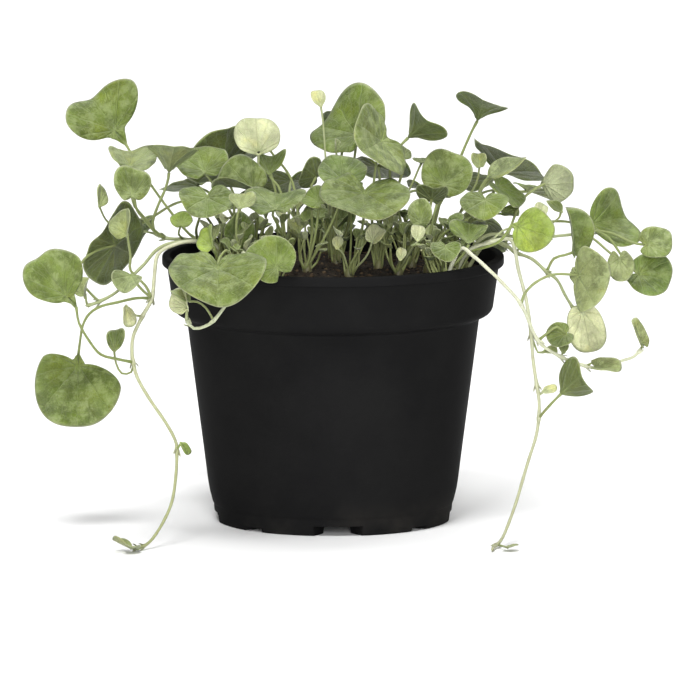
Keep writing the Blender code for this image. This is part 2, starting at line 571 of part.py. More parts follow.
def outline_radius(blade, angle):
    """Distance from the blade's throat to its margin, as a share of the blade's radius."""
    shape = blade.shape
    offset = shape["offset"]
    edge = offset * math.cos(angle) + math.sqrt(1 - (offset * math.sin(angle)) ** 2)
    edge *= 1 - shape["notch"] * math.exp(-(math.degrees(angle) / TIP_NOTCH_ANGLE) ** 2)
    edge *= 1 + shape["skew"] * math.sin(angle)
    edge *= 1 + sum(size * math.sin(waves * angle + turns * blade.phase)
                    for waves, turns, size in MARGIN_RIPPLES)
    soft = shape["soft"]
    lobe_end = shape["open"] + math.copysign(shape["lop"], angle)
    share = min(1, max(0, (abs(math.degrees(angle)) - lobe_end + soft) / (soft + 10)))
    share = share * share * (3 - 2 * share)
    back = max(shape["waist"], SINUS_RADIUS / blade_radius(blade))
    if shape["neck"] and math.cos(angle) < 0:
        back = 1 / (abs(math.sin(angle)) / back - math.cos(angle) / shape["neck"])
    return edge * (1 - share) + back * share


def bent(distance, curvature):
    """Place and rise along an arc that starts flat."""
    if abs(curvature) < 1e-4:
        return distance, 0
    return math.sin(curvature * distance) / curvature, (1 - math.cos(curvature * distance)) / curvature


def blade_point(blade, angle, share):
    """A point of the blade, as a share of its radius, in the blade's own axes round its throat."""
    shape = blade.shape
    reach = outline_radius(blade, angle) * share
    u = math.sin(angle) * reach * shape["aspect"]
    v = math.cos(angle) * reach
    side, rise_u = bent(u, shape["roll"])
    along, rise_v = bent(v, shape["curl"])
    crease = math.radians(shape["fold"])
    height = rise_u + rise_v + (math.sqrt(side * side + 0.02) - 0.1414) * math.sin(crease)
    neck = neck_share(blade, angle)
    height += shape["funnel"] * (1 - math.exp(-reach / FUNNEL_REACH)) * (1 - neck)
    height += shape["wave"] * math.sin(3 * angle + blade.phase) * reach * reach
    height += shape["saddle"] * math.cos(2 * angle + blade.phase * 1.7) * reach * reach
    return Vector((side * math.cos(crease), along, height))


def blade_radius(blade):
    return blade.width / 2 / blade.shape["aspect"]


def blade_place(blade, point):
    """The petiole ends at the blade's throat, or near the end of its neck."""
    across, up, back = blade.junction
    joint = blade_point(blade, math.pi, NECK_JOIN) if blade.shape["neck"] else Vector()
    return seen(across, up, back + blade.shift) + blade.axes @ ((point - joint) * blade_radius(blade))


def blade_surface(blade):
    """Middle surface of a faceted blade: its points, the last of them the junction, and triangles."""
    lobe = math.radians(blade.shape["open"] - 0.6 * blade.shape["soft"])
    shoulder = math.radians(min(blade.shape["open"] + 6, 168))
    small = blade.width < 14
    steps = 2 if blade.width < 8 else 3 if small else 5
    half = [lobe * step / steps for step in range(1, steps + 1)] + [shoulder]
    angles = [-angle for angle in reversed(half)] + [0] + half + [math.pi]
    points = [blade_point(blade, angle, 1) for angle in angles]
    count = len(angles)
    middle = steps + 1
    faces = []
    if small:
        points.append(blade_point(blade, 0, 0))
        faces = [(count, (step + 1) % count, step) for step in range(count)]
        return points, faces, count
    inner = {}
    for step in (-4, -2, 0, 2, 4):
        inner[step] = len(points)
        points.append(blade_point(blade, angles[middle + step], 0.5))
    centre = len(points)
    points.append(blade_point(blade, 0, 0))
    for step in (-4, -2, 0, 2):
        near, far = inner[step], inner[step + 2]
        rim = middle + step
        faces += [(near, rim + 1, rim), (near, far, rim + 1), (far, rim + 2, rim + 1)]
        faces.append((centre, far, near))
    faces += [(inner[4], middle + 5, middle + 4), (centre, middle + 5, inner[4])]
    faces += [(centre, middle + 6, middle + 5), (centre, middle + 7, middle + 6)]
    faces += [(inner[-4], middle - 4, middle - 5), (centre, inner[-4], middle - 5)]
    faces += [(centre, middle - 5, middle - 6), (centre, middle - 6, middle + 7)]
    return points, faces, count


def blade_solid(blade, thickness):
    """Both faces of a blade, split into triangles alike, and its rim."""
    points, faces, count = blade_surface(blade)
    points = [blade_place(blade, point) for point in points]
    normals = [Vector() for _ in points]
    for face in faces:
        a, b, c = (points[index] for index in face)
        normal = (b - a).cross(c - a)
        for index in face:
            normals[index] += normal
    normals = [normal.normalized() * thickness / 2 for normal in normals]
    size = len(points)
    solid = [point + normal for point, normal in zip(points, normals)]
    solid += [point - normal for point, normal in zip(points, normals)]
    skin = list(faces) + [(c + size, b + size, a + size) for a, b, c in faces]
    for step in range(count):
        after = (step + 1) % count
        skin += [(step, after, after + size), (step, after + size, step + size)]
    return solid, skin


def tube_solid(points, radius, sides, tip_share=1.0):
    """A closed tube along the points, with its rings turned the least from one to the next."""
    solid = []
    skin = []
    tangents = [(points[1] - points[0]).normalized()]
    tangents += [(c - a).normalized() for a, c in zip(points, points[2:])]
    tangents.append((points[-1] - points[-2]).normalized())
    across = tangents[0].orthogonal().normalized()
    for number, (point, tangent) in enumerate(zip(points, tangents)):
        across = (across - tangent * across.dot(tangent)).normalized()
        other = tangent.cross(across)
        size = radius * (1 + (tip_share - 1) * number / (len(points) - 1))
        for side in range(sides):
            angle = math.tau * side / sides
            solid.append(point + (across * math.cos(angle) + other * math.sin(angle)) * size)
    for ring in range(len(points) - 1):
        for side in range(sides):
            a = ring * sides + side
            b = ring * sides + (side + 1) % sides
            skin += [(a, b, b + sides), (a, b + sides, a + sides)]
    last = (len(points) - 1) * sides
    for side in range(1, sides - 1):
        skin.append((0, side + 1, side))
        skin.append((last, last + side, last + side + 1))
    return solid, skin


def petiole_solid(item, blade, grow, spacing=13.0):
    points = curve_through(petiole_points(item, blade), spacing)
    share = 1.0 if blade.width > 8 else 0.8
    return tube_solid(points, PETIOLE_RADIUS * share + grow, 3)


def runner_solid(item, grow, spacing=10.0):
    return tube_solid(curve_through(route_points(item), spacing), RUNNER_RADIUS + grow, 4, 0.8)


def reach_of(solid):
    low = Vector([min(point[axis] for point in solid) for axis in range(3)])
    high = Vector([max(point[axis] for point in solid) for axis in range(3)])
    return low, high


class Shape:
    """A solid with its box and its search tree, to test for crossings."""

    def __init__(self, solid, skin, stem_name, kind):
        self.low, self.high = reach_of(solid)
        self.tree = BVHTree.FromPolygons(solid, skin)
        self.stem = stem_name
        self.kind = kind

    def crosses(self, other):
        for axis in range(3):
            if self.low[axis] > other.high[axis] or other.low[axis] > self.high[axis]:
                return 0
        return len(self.tree.overlap(other.tree))


def crossings(shape, others):
    total = 0
    for other in others:
        same = shape.stem == other.stem
        if same and (shape.kind != "blade" and other.kind != "blade" or shape.kind == "small"):
            continue
        if shape.kind == "petiole" and other.kind == "soil":
            continue
        total += shape.crosses(other)
    return total


def trial(item, blade):
    kind = "blade" if blade.width > 7 else "small"
    return [Shape(*blade_solid(blade, BLADE_THICKNESS + 2 * CLEARANCE), item.name, kind),
            Shape(*petiole_solid(item, blade, CLEARANCE), item.name, "petiole")]


def settle(solids):
    """Bends each leaf clear of everything placed before it, and of the pot and the soil."""
    fixed = list(solids)
    for item in STEMS.values():
        if item.route:
            fixed.append(Shape(*runner_solid(item, CLEARANCE), item.name, "runner"))
    left_over = []
    for item in STEMS.values():
        for blade in item.leaves:
            best = None
            for shift, bow in CHOICES:
                blade.shift, blade.bow = shift, bow
                pair = trial(item, blade)
                count = sum(crossings(shape, fixed) for shape in pair)
                if pair[0].low.z < LOWEST_Z:
                    count += 1
                if best is None or count < best[0]:
                    best = (count, shift, bow, pair)
                if count == 0:
                    break
            blade.shift, blade.bow = best[1], best[2]
            fixed += best[3]
            if best[0]:
                left_over.append((item.name, item.leaves.index(blade), best[0]))
    return left_over


def lathe(profile, sides):
    """A closed solid turned about the pot's axis from a closed (radius, height) outline."""
    solid = []
    skin = []
    rings = []
    for radius, height in profile:
        if radius < 1e-6:
            rings.append([len(solid)] * sides)
            solid.append(Vector((0, 0, height)))
            continue
        rings.append(list(range(len(solid), len(solid) + sides)))
        for side in range(sides):
            angle = math.tau * side / sides
            solid.append(Vector((radius * math.cos(angle), radius * math.sin(angle), height)))
    pairs = list(zip(rings, rings[1:]))
    if profile[0][0] > 1e-6:
        pairs.append((rings[-1], rings[0]))
    for low, high in pairs:
        for side in range(sides):
            after = (side + 1) % sides
            corners = [low[side], low[after], high[after], high[side]]
            corners = [c for n, c in enumerate(corners) if c != corners[n - 1]]
            if len(corners) > 2:
                skin.append(tuple(corners))
    return solid, skin


def pot_profile():
    """Outside from the foot up, over the lip, and down the inside to the floor."""
    outer = [
        (FOOT_INNER_RADIUS, 0), (FOOT_RADIUS, 0), (FOOT_RADIUS + FOOT_FLARE, FLOOR_LOW_Z),
        (GROOVE_RADIUS, GROOVE_Z), (BODY_LOW_RADIUS, BODY_LOW_Z),
        (BODY_TOP_RADIUS, BODY_TOP_Z), (BODY_TOP_RADIUS + STEP_REACH, BODY_TOP_Z + STEP_RISE),
        (BAND_FOOT_RADIUS, BAND_FOOT_Z), (BAND_TOP_RADIUS, POT_HEIGHT - LIP_HEIGHT),
        (LIP_RADIUS, POT_HEIGHT - LIP_HEIGHT), (LIP_RADIUS, POT_HEIGHT)]
    inner = [
        (BAND_TOP_RADIUS - WALL, POT_HEIGHT), (BAND_FOOT_RADIUS - WALL, BAND_FOOT_Z + INSIDE_BAND_RISE),
        (BODY_TOP_RADIUS - WALL, BODY_TOP_Z + INSIDE_BODY_RISE),
        (BODY_LOW_RADIUS - WALL, BODY_LOW_Z), (GROOVE_RADIUS - WALL, FLOOR_TOP_Z),
        (0, FLOOR_TOP_Z), (0, FLOOR_LOW_Z), (FOOT_INNER_RADIUS - 1, FLOOR_LOW_Z)]
    return outer, inner


def pot_outline():
    outer, inner = pot_profile()
    return inner[6:] + outer + inner[:6]


def soil_outline():
    """Soil that fills the pot to a shallow dome, a gap clear of the wall all the way down."""
    top = [(SOIL_RADIUS * share, SOIL_EDGE_Z + SOIL_RISE * (1 - share * share))
           for share in (0, 0.55, 1)]
    inner = pot_profile()[1]
    wall = [(radius - SOIL_WALL_GAP, height) for radius, height in inner[1:4]]
    floor = [(GROOVE_RADIUS - WALL - SOIL_FOOT_GAP, FLOOR_TOP_Z + SOIL_FLOOR_GAP),
             (0, FLOOR_TOP_Z + SOIL_FLOOR_GAP)]
    return list(reversed(top + wall + floor))


TONE_COLOURS = {
    "sage": (0.12, 0.17, 0.04), "green": (0.10, 0.15, 0.03), "dark": (0.08, 0.11, 0.03),
    "pale": (0.24, 0.28, 0.14), "mottled": (0.16, 0.21, 0.08), "fresh": (0.20, 0.28, 0.05),
    "cream": (0.45, 0.48, 0.28),
}


def material(name, colour, roughness):
    made = bpy.data.materials.new(name)
    made.use_nodes = True
    shader = made.node_tree.nodes["Principled BSDF"]
    shader.inputs["Base Color"].default_value = (*colour, 1)
    shader.inputs["Roughness"].default_value = roughness
    shader.inputs["Metallic"].default_value = 0.0
    return made


def body(name, solid, skin):
    """A mesh object from points in millimetres."""
    mesh = bpy.data.meshes.new(name)
    mesh.from_pydata([point * MM for point in solid], [], skin)
    builder = bmesh.new()
    builder.from_mesh(mesh)
    bmesh.ops.recalc_face_normals(builder, faces=builder.faces)
    builder.to_mesh(mesh)
    builder.free()
    made = bpy.data.objects.new(name, mesh)
    bpy.context.scene.collection.objects.link(made)
    return made


def combine(target, others, operation):
    """One Boolean with a collection of pieces, applied, after which the pieces are removed."""
    group = bpy.data.collections.new(target.name + "_parts")
    bpy.context.scene.collection.children.link(group)
    for other in others:
        bpy.context.scene.collection.objects.unlink(other)
        group.objects.link(other)
    step = target.modifiers.new("combine", "BOOLEAN")
    step.operation = operation
    step.solver = "EXACT"
    step.operand_type = "COLLECTION"
    step.collection = group
    ready = target.evaluated_get(bpy.context.evaluated_depsgraph_get())
    mesh = bpy.data.meshes.new_from_object(ready)
    target.modifiers.clear()
    target.data = mesh
    for other in others:
        bpy.data.objects.remove(other)
    bpy.data.collections.remove(group)


def fill_pockets(mesh):
    """Removes the inner skins that a union leaves where its pieces close off a small hollow."""
    builder = bmesh.new()
    builder.from_mesh(mesh)
    waiting = set(builder.faces)
    pockets = []
    while waiting:
        shell = [waiting.pop()]
        for face in shell:
            near = {other for edge in face.edges for other in edge.link_faces} & waiting
            waiting -= near
            shell += near
        volume = 0
        for face in shell:
            corners = [vertex.co for vertex in face.verts]
            for second, third in zip(corners[1:], corners[2:]):
                volume += corners[0].dot(second.cross(third))
        if volume < 0:
            pockets += shell
    bmesh.ops.delete(builder, geom=pockets, context="FACES")
    loose = [vertex for vertex in builder.verts if not vertex.link_faces]
    bmesh.ops.delete(builder, geom=loose, context="VERTS")
    builder.to_mesh(mesh)
    builder.free()


def prism(name, corners, low, high):
    """A straight-sided cutter from a plan outline."""
    count = len(corners)
    solid = [Vector((x, y, low)) for x, y in corners] + [Vector((x, y, high)) for x, y in corners]
    skin = [tuple(range(count)), tuple(range(count, 2 * count))]
    for step in range(count):
        after = (step + 1) % count
        skin.append((step, after, after + count, step + count))
    return body(name, solid, skin)


def around(radius, angle):
    """A plan point at an angle in degrees from the front, turning to the right."""
    return (radius * math.sin(math.radians(angle)), -radius * math.cos(math.radians(angle)))


def make_pot():
    pot = body("pot", *lathe(pot_outline(), POT_SIDES))
    cutters = []
    for first, half, height in (WIDE_NOTCH, NARROW_NOTCH):
        for quarter in range(4):
            middle = first + 90 * quarter
            outer = FOOT_RADIUS + 4
            inner = FOOT_INNER_RADIUS - 2
            wide = half * NOTCH_OUTER_SHARE
            narrow = half * NOTCH_INNER_SHARE
            corners = [around(outer, middle - wide), around(outer, middle + wide),
                       around(inner, middle + narrow), around(inner, middle - narrow)]
            cutters.append(prism("notch", corners, -2, height))
    for step in range(DRAIN_COUNT):
        centre = Vector(around(DRAIN_RING, 360 * (step + 0.5) / DRAIN_COUNT))
        ring = [centre + Vector(around(DRAIN_RADIUS, 45 * side + 10)) for side in range(8)]
        cutters.append(prism("drain", ring, FLOOR_LOW_Z - 1, FLOOR_TOP_Z + 1))
    combine(pot, cutters, "DIFFERENCE")
    pot.data.materials.append(material("black_plastic", (0.012, 0.012, 0.013), 0.45))
    return pot


def make_soil():
    soil = body("soil", *lathe(soil_outline(), SOIL_SIDES))
    holes = []
    for item in STEMS.values():
        x, y = item.base
        top = soil_height(x, y)
        ring = [(x + HOLE_RADIUS * math.cos(math.tau * side / STUB_SIDES),
                 y + HOLE_RADIUS * math.sin(math.tau * side / STUB_SIDES))
                for side in range(STUB_SIDES)]
        holes.append(prism("hole", ring, top - STUB_DEPTH - GAP, top + 4))
    combine(soil, holes, "DIFFERENCE")
    soil.data.materials.append(material("soil", (0.03, 0.022, 0.016), 0.95))
    return soil


def make_leafy_stem(item):
    x, y = item.base
    top = soil_height(x, y)
    stub = tube_solid([Vector((x, y, top - STUB_DEPTH)), Vector((x, y, top + STUB_RISE))],
                      STUB_RADIUS, STUB_SIDES, 0.8)
    plant = body(item.name, *stub)
    pieces = []
    if item.route:
        pieces.append(body("runner", *runner_solid(item, 0)))
    for blade in item.leaves:
        if blade.width < SMALLEST_SOLID:
            continue
        pieces.append(body("petiole", *petiole_solid(item, blade, 0)))
        pieces.append(body("blade", *blade_solid(blade, BLADE_THICKNESS)))
    combine(plant, pieces, "UNION")
    fill_pockets(plant.data)
    widest = max(item.leaves, key=lambda blade: blade.width)
    plant.data.materials.append(material(item.name, TONE_COLOURS[widest.tone], 0.6))
    return plant


def centre_on_box(parts):
    """Stands everything on the origin at the middle of its own box, by one parent."""
    corners = [part.matrix_world @ Vector(corner) for part in parts for corner in part.bound_box]
    low = [min(corner[axis] for corner in corners) for axis in range(3)]
    high = [max(corner[axis] for corner in corners) for axis in range(3)]
    frame = bpy.data.objects.new("plant_frame", None)
    bpy.context.scene.collection.objects.link(frame)
    frame.location = (-(low[0] + high[0]) / 2, -(low[1] + high[1]) / 2, 0)
    for part in parts:
        part.parent = frame


def main():
    for old in list(bpy.data.objects):
        bpy.data.objects.remove(old)
    pot = make_pot()
    settle([Shape(*lathe(pot_outline(), 32), "pot", "pot"),
            Shape(*lathe(soil_outline(), 32), "soil", "soil")])
    parts = [pot, make_soil()]
    parts += [make_leafy_stem(item) for item in STEMS.values()]
    for part in parts:
        part.data.shade_smooth()
        part.data.set_sharp_from_angle(angle=math.radians(35))
    bpy.context.view_layer.update()
    centre_on_box(parts)


main()
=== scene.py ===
# The looks of the potted dichondra: finer leaves, stems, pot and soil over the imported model.
# Millimetres in the tables; the scene is in metres, +Z up.
import math
import random

import bpy
import bmesh
from mathutils import Matrix, Vector, noise


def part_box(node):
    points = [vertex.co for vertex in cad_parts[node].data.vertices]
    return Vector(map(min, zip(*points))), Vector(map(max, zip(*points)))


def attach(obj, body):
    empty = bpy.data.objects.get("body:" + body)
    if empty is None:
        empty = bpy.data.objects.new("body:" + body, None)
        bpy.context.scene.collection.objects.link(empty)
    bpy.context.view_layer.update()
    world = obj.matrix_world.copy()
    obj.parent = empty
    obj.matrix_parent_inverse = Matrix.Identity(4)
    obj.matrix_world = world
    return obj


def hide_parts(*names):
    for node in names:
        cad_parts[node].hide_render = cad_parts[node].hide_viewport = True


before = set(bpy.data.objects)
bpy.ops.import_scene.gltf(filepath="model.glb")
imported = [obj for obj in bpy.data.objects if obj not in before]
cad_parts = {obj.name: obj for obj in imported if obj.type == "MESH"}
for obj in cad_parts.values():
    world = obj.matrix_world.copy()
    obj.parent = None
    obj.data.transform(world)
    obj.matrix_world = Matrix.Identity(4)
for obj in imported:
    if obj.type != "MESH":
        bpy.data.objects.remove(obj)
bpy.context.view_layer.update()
MM = 0.001

# The pot's axis lies at the middle of the pot node's box
pot_low, pot_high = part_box("pot")
AXIS = Vector(((pot_low.x + pot_high.x) / 2, (pot_low.y + pot_high.y) / 2, 0))

# Pot, in millimetres
POT_HEIGHT = 82.0
LIP_RADIUS = 52.5
LIP_HEIGHT = 3.0
WALL = 1.0
BAND_TOP_RADIUS = 51.0
BAND_FOOT_RADIUS = 49.1
BAND_FOOT_Z = 65.6
BODY_TOP_RADIUS = 45.0
BODY_TOP_Z = 63.0
STEP_REACH = 3.2
STEP_RISE = 1.3
BODY_LOW_RADIUS = 38.2
BODY_LOW_Z = 10.4
GROOVE_RADIUS = 36.8
GROOVE_Z = 5.6
FOOT_RADIUS = 36.0
FOOT_INNER_RADIUS = 30.0
FLOOR_LOW_Z = 3.8
FLOOR_TOP_Z = 5.2
POT_SIDES = 144
WIDE_NOTCH = (2.5, 13.1, 3.0)
NARROW_NOTCH = (47.5, 6.3, 1.2)
DRAIN_RADIUS = 3.0
DRAIN_RING = 22.0
DRAIN_COUNT = 8


# The view that the leaves were placed in: level enough to see just inside the rim
VIEW_TILT = math.radians(8.3)
VIEW_COS = math.cos(VIEW_TILT)
VIEW_SIN = math.sin(VIEW_TILT)
TO_VIEWER = Vector((0, -VIEW_COS, VIEW_SIN))
VIEW_UP = Vector((0, VIEW_SIN, VIEW_COS))

# Leaf and stem sizes, in millimetres
PETIOLE_RADIUS = 0.58
RUNNER_RADIUS = 0.75
STUB_RADIUS = 1.5
STUB_DEPTH = 8.0
STUB_SIDES = 6
STUB_RISE = 2.0
CROWN_RISE = 0.6
HOLE_RADIUS = 2.1
SMALLEST_SOLID = 4.5
SINUS_SHARE = 0.12
SINUS_RADIUS = 0.75
CLEARANCE = 0.22
LOWEST_Z = 0.05

# Where a petiole joins a blade's neck, as a share of its length, and the neck's half width in degrees
NECK_JOIN = 0.8
NECK_ANGLE = 18.0

# Soil surface, in millimetres
SOIL_EDGE_Z = 76.0
SOIL_RISE = 3.0
SOIL_RADIUS = 49.0
SOIL_SIDES = 28

# Depth shifts and bows that a leaf may take to pass its neighbours, in millimetres
DEPTH_SHIFTS = (0, 2, -2, 4, -4, 6, -6, 9, -9, 12, -12, 16, -16)
PETIOLE_BOWS = (0, 3, -3, 6, -6, 10, -10)

# How much every blade waves, twists and ripples along its margin, as shares of its radius
WAVE = 0.07
SADDLE = 0.06
MARGIN_RIPPLES = ((3, 1, 0.03), (5, 2, 0.02))
TIP_NOTCH_ANGLE = 16.0
FUNNEL_REACH = 0.3

# Leaf forms: how the blade opens round its junction and how it bends
FORMS = {
    "kidney": dict(offset=0.42, open=163, soft=20, aspect=1.08, notch=0.04, roll=0.25, curl=0.1, fold=6,
                   funnel=0.1),
    "fan": dict(offset=0.78, open=100, soft=35, aspect=1.15, notch=0.08, roll=0.35, curl=0.15, fold=10,
                funnel=0.2),
    "funnel": dict(offset=0.7, open=105, soft=60, aspect=1.15, notch=0.06, roll=0.8, curl=0.3, fold=14,
                   funnel=0.3),
    "folded": dict(offset=0.5, open=150, soft=20, aspect=1.1, notch=0.03, roll=0.4, curl=0.1, fold=38,
                   funnel=0.1),
    "drooped": dict(offset=0.45, open=160, soft=20, aspect=1.08, notch=0.03, roll=-0.5, curl=-0.6, fold=6,
                    funnel=0.12),
    "young": dict(offset=0.85, open=95, soft=25, aspect=0.75, notch=0.0, roll=0.8, curl=0.2, fold=22,
                  funnel=0.1),
}


def seen(across, up, back):
    """A point by its place in the view (across, up) and its depth behind the pot's axis."""
    return Vector((across, back, (up - back * VIEW_SIN) / VIEW_COS))


def placed(x, y, z):
    """The same three view values for a point given in the pot's own axes."""
    return (x, z * VIEW_COS + y * VIEW_SIN, y)


def soil_height(x, y):
    return SOIL_EDGE_Z + SOIL_RISE * (1 - (x * x + y * y) / SOIL_RADIUS ** 2)


def shown(spin, face, turn=0):
    """Blade axes by what the view shows: tip direction clockwise from up, how far the upper
    face turns from the viewer, and the direction that it turns to."""
    spin, face, turn = math.radians(spin), math.radians(face), math.radians(turn)
    tip = Vector((math.sin(spin), 0, 0)) + VIEW_UP * math.cos(spin)
    aside = Vector((math.sin(turn), 0, 0)) + VIEW_UP * math.cos(turn)
    normal = TO_VIEWER * math.cos(face) + aside * math.sin(face)
    lift = -math.sin(face) * math.cos(spin - turn) / math.cos(face)
    along = (tip + TO_VIEWER * lift).normalized()
    return Matrix((along.cross(normal), along, normal)).transposed()


def laid(azimuth, tilt, roll=0):
    """Blade axes in plan: tip azimuth clockwise from the back, slope down towards the tip."""
    turn = Matrix.Rotation(-math.radians(azimuth), 3, "Z")
    slope = Matrix.Rotation(-math.radians(tilt), 3, "X")
    bank = Matrix.Rotation(math.radians(roll), 3, "Y")
    return turn @ slope @ bank


class Leaf:
    def __init__(self, stem, root, via, junction, width, axes, form, tone, phase, changes):
        self.stem = stem
        self.root = root
        self.via = via
        self.junction = junction
        self.width = width
        self.axes = axes
        self.shape = dict(skew=0.0, lop=0.0, waist=SINUS_SHARE, neck=0.0, wave=WAVE, saddle=SADDLE)
        self.shape.update(FORMS[form])
        self.shape.update(changes)
        self.tone = tone
        self.phase = phase
        self.shift = 0
        self.bow = 0


class Stem:
    def __init__(self, name, base, route):
        self.name = name
        self.base = base
        self.route = route
        self.leaves = []


STEMS = {}


def stem(name, base, route=()):
    STEMS[name] = Stem(name, base, list(route))


def leaf(stem_name, root, via, junction, width, axes, form, tone, **changes):
    """root is None for the crown, or the number of the route point that the petiole leaves."""
    count = sum(len(item.leaves) for item in STEMS.values())
    phase = (count * 2.399) % math.tau
    item = Leaf(stem_name, root, via, junction, width, axes, form, tone, phase, changes)
    STEMS[stem_name].leaves.append(item)


# Runners over the left of the rim, and what they carry
stem("left_trail", (-33, -12), [
    (-36, 83.3, -13), (-43, 85, -15), (-49.5, 83.6, -17), (-53.6, 80.8, -18), (-54.6, 74.5, -19),
    (-55.4, 67.5, -20), (-58.3, 62, -22), (-61, 56, -25), (-61.4, 51, -27), (-61, 48, -28),
    (-59.8, 43.5, -30), (-56.3, 37.3, -33), (-51, 29.6, -37), (-48.2, 24.5, -40), (-47.6, 21.3, -42),
    (-47.8, 14, -46), (-48.9, 6, -51), (-51.4, -0.2, -55), (-54.8, -5.6, -59), (-57.6, -7.9, -62.5),
    (-60.6, -8.4, -65.5)])
leaf("left_trail", 5, [(-60, 67.6), (-66, 66.3), (-71, 65.1), (-74.6, 62.8), (-76.6, 59.3), (-77.4, 55)],
     (-78, 50.4, -12), 27.6, shown(181, 16, 0), "funnel", "sage", offset=0.5, open=107, lop=-18, soft=30,
     aspect=0.9, fold=12, curl=0.15, roll=0.35, funnel=0.3, waist=0.17, neck=0.32)
leaf("left_trail", 9, [(-66, 49), (-70.9, 50.4), (-74.4, 54.6), (-77.4, 60)],
     (-78.2, 64.8, -38), 20.4, shown(-42, 22, 17), "fan", "sage", offset=0.5, open=116, soft=60,
     aspect=0.98, notch=0.08, waist=0.25, neck=0.55, fold=14, roll=0.3)
leaf("left_trail", 5, [(-58, 69.8), (-60.3, 72.4)],
     (-61.6, 74.3, -24), 10.5, shown(205, 36, 0), "fan", "pale", fold=24)
leaf("left_trail", 5, [(-57.4, 71.5), (-61.8, 76), (-61.8, 80), (-62.4, 84.6)],
     (-62.8, 87.2, -26), 11, shown(8, 50, -70), "folded", "pale", fold=34)
leaf("left_trail", 6, [(-60.3, 62.3), (-61.8, 64)],
     (-63.4, 65, -24), 6, shown(184, 40, 90), "young", "cream", aspect=0.85)
leaf("left_trail", 9, [(-61.6, 45), (-64.5, 44.6), (-66.2, 47.6)],
     (-66.8, 51.4, -30), 6.3, shown(8, 22, 0), "funnel", "dark", aspect=0.72)
leaf("left_trail", 14, [(-46.9, 22.4)],
     (-46.4, 23.2, -43), 3.6, shown(150, 50, 90), "young", "fresh")
leaf("left_trail", 20, [],
     (-61.4, -8.6, -66.3), 5.2, laid(-72, -14), "young", "pale")
leaf("left_trail", 19, [(-58.6, -8.5)],
     (-59.4, -8.8, -66), 5.4, laid(-150, 0), "young", "pale")

stem("left_runner", (-31, -3), [
    (-36.5, 84.3, -5), (-45, 84.9, -7), (-51, 84.1, -8), (-54.7, 81.8, -8), (-57.6, 78.3, -8),
    (-60.7, 75.2, -9), (-66.3, 69.5, -12), (-71.5, 66.6, -14), (-75.2, 65.3, -14)])
leaf("left_runner", 7, [(-73.2, 68), (-76.4, 71.6), (-78.1, 75.4), (-76.2, 79.6), (-71.6, 82.6)],
     (-66.8, 83.8, 0), 27.5, shown(118, 126, -62), "kidney", "dark", open=158, waist=0.8, aspect=1.2,
     offset=0.25)
leaf("left_runner", 8, [(-75.6, 67)],
     (-75.8, 69, -10), 8, shown(10, 50, -90), "folded", "pale")

stem("left_upper", (-33, 6), [
    (-37.5, 85, 6), (-41.5, 85.6, 6), (-46, 85.7, 6), (-51.5, 86.1, 6), (-54.6, 87.4, 6)])
leaf("left_upper", 4, [(-55.4, 91), (-53.8, 96), (-51.6, 101), (-50.6, 104.4)],
     (-50.4, 106.2, 8), 19, shown(24, 108, 6), "funnel", "mottled", funnel=0.5, roll=0.3, curl=0.1,
     offset=0.3)
leaf("left_upper", 3, [(-54.6, 87.9), (-57.1, 90.8), (-60.1, 94.6), (-60.7, 97.4)],
     (-61.4, 99.2, -4), 13, shown(0, 22, 0), "folded", "mottled", wave=0.16, saddle=0.12, fold=26)
leaf("left_upper", 3, [(-55, 88.6), (-57.6, 92), (-60.9, 95.9), (-61.9, 99.5), (-62.6, 104.6)],
     (-62.4, 108, 8), 16.8, shown(10, 62, 14), "kidney", "pale", fold=24, roll=-0.2)
leaf("left_upper", 4, [(-58, 88.2), (-64, 89), (-69.4, 91.2)],
     (-72, 96, 14), 5.8, shown(-6, 60, 60), "young", "pale")
leaf("left_upper", 1, [(-44.2, 87.4), (-48.2, 92), (-53, 98.3), (-57.5, 104.7), (-61.4, 111)],
     (-64, 115.4, 22), 27, shown(-39, 22, 0), "fan", "sage", offset=0.45, open=123, soft=76, aspect=1.3,
     notch=0.14, roll=0.3, waist=0.26, neck=0.66)
leaf("left_upper", 2, [(-47.4, 87.4)],
     (-46.6, 90.2, 0), 7.2, shown(6, 42, 0), "kidney", "fresh")
leaf("left_upper", 1, [(-42, 88.5), (-40.6, 93), (-39, 96.4)],
     (-38.4, 98.2, -16), 18, shown(180, 48, 0), "kidney", "sage", fold=13)

# Crowns along the left of the soil
stem("left_front", (-31, -21))
leaf("left_front", None, [(-34.6, 79), (-36, 82.4)],
     (-36.9, 85.4, -24), 6.2, shown(-4, 30, 0), "funnel", "pale")
leaf("left_front", None, [(-34.8, 78.5), (-35.6, 80.8)],
     (-36.6, 83.2, -32), 9.4, shown(-8, 62, -60), "folded", "fresh", aspect=0.8)
leaf("left_front", None, [(-30.4, 82)],
     (-30.2, 86, -17), 12.4, shown(14, 42, 100), "kidney", "sage", aspect=1.0)
leaf("left_front", None, [(-28.6, 80.5), (-29.4, 86), (-29.4, 91)],
     (-28.6, 94.8, -27), 8.8, shown(24, 58, 10), "fan", "pale")

stem("left_back", (-25, 9))
leaf("left_back", None, [(-27.5, 86), (-32.5, 96), (-37, 103)],
     (-39.5, 106.4, 8), 17, shown(-20, 50, -6), "kidney", "green")
leaf("left_back", None, [(-23.5, 87), (-23.2, 94), (-23.6, 99)],
     (-24.3, 100.6, -4), 20, shown(-84, 62, 0), "folded", "sage", fold=26)
leaf("left_back", None, [(-26.4, 88), (-30, 98), (-33, 106)],
     (-33.6, 109.1, 22), 24, shown(-39, 126, -39), "kidney", "dark", waist=0.5, offset=0.25)
leaf("left_back", None, [(-23.8, 88), (-23.6, 98), (-23, 107)],
     (-22.8, 112, 3), 14.8, shown(-4, 16, 0), "fan", "cream", open=112)

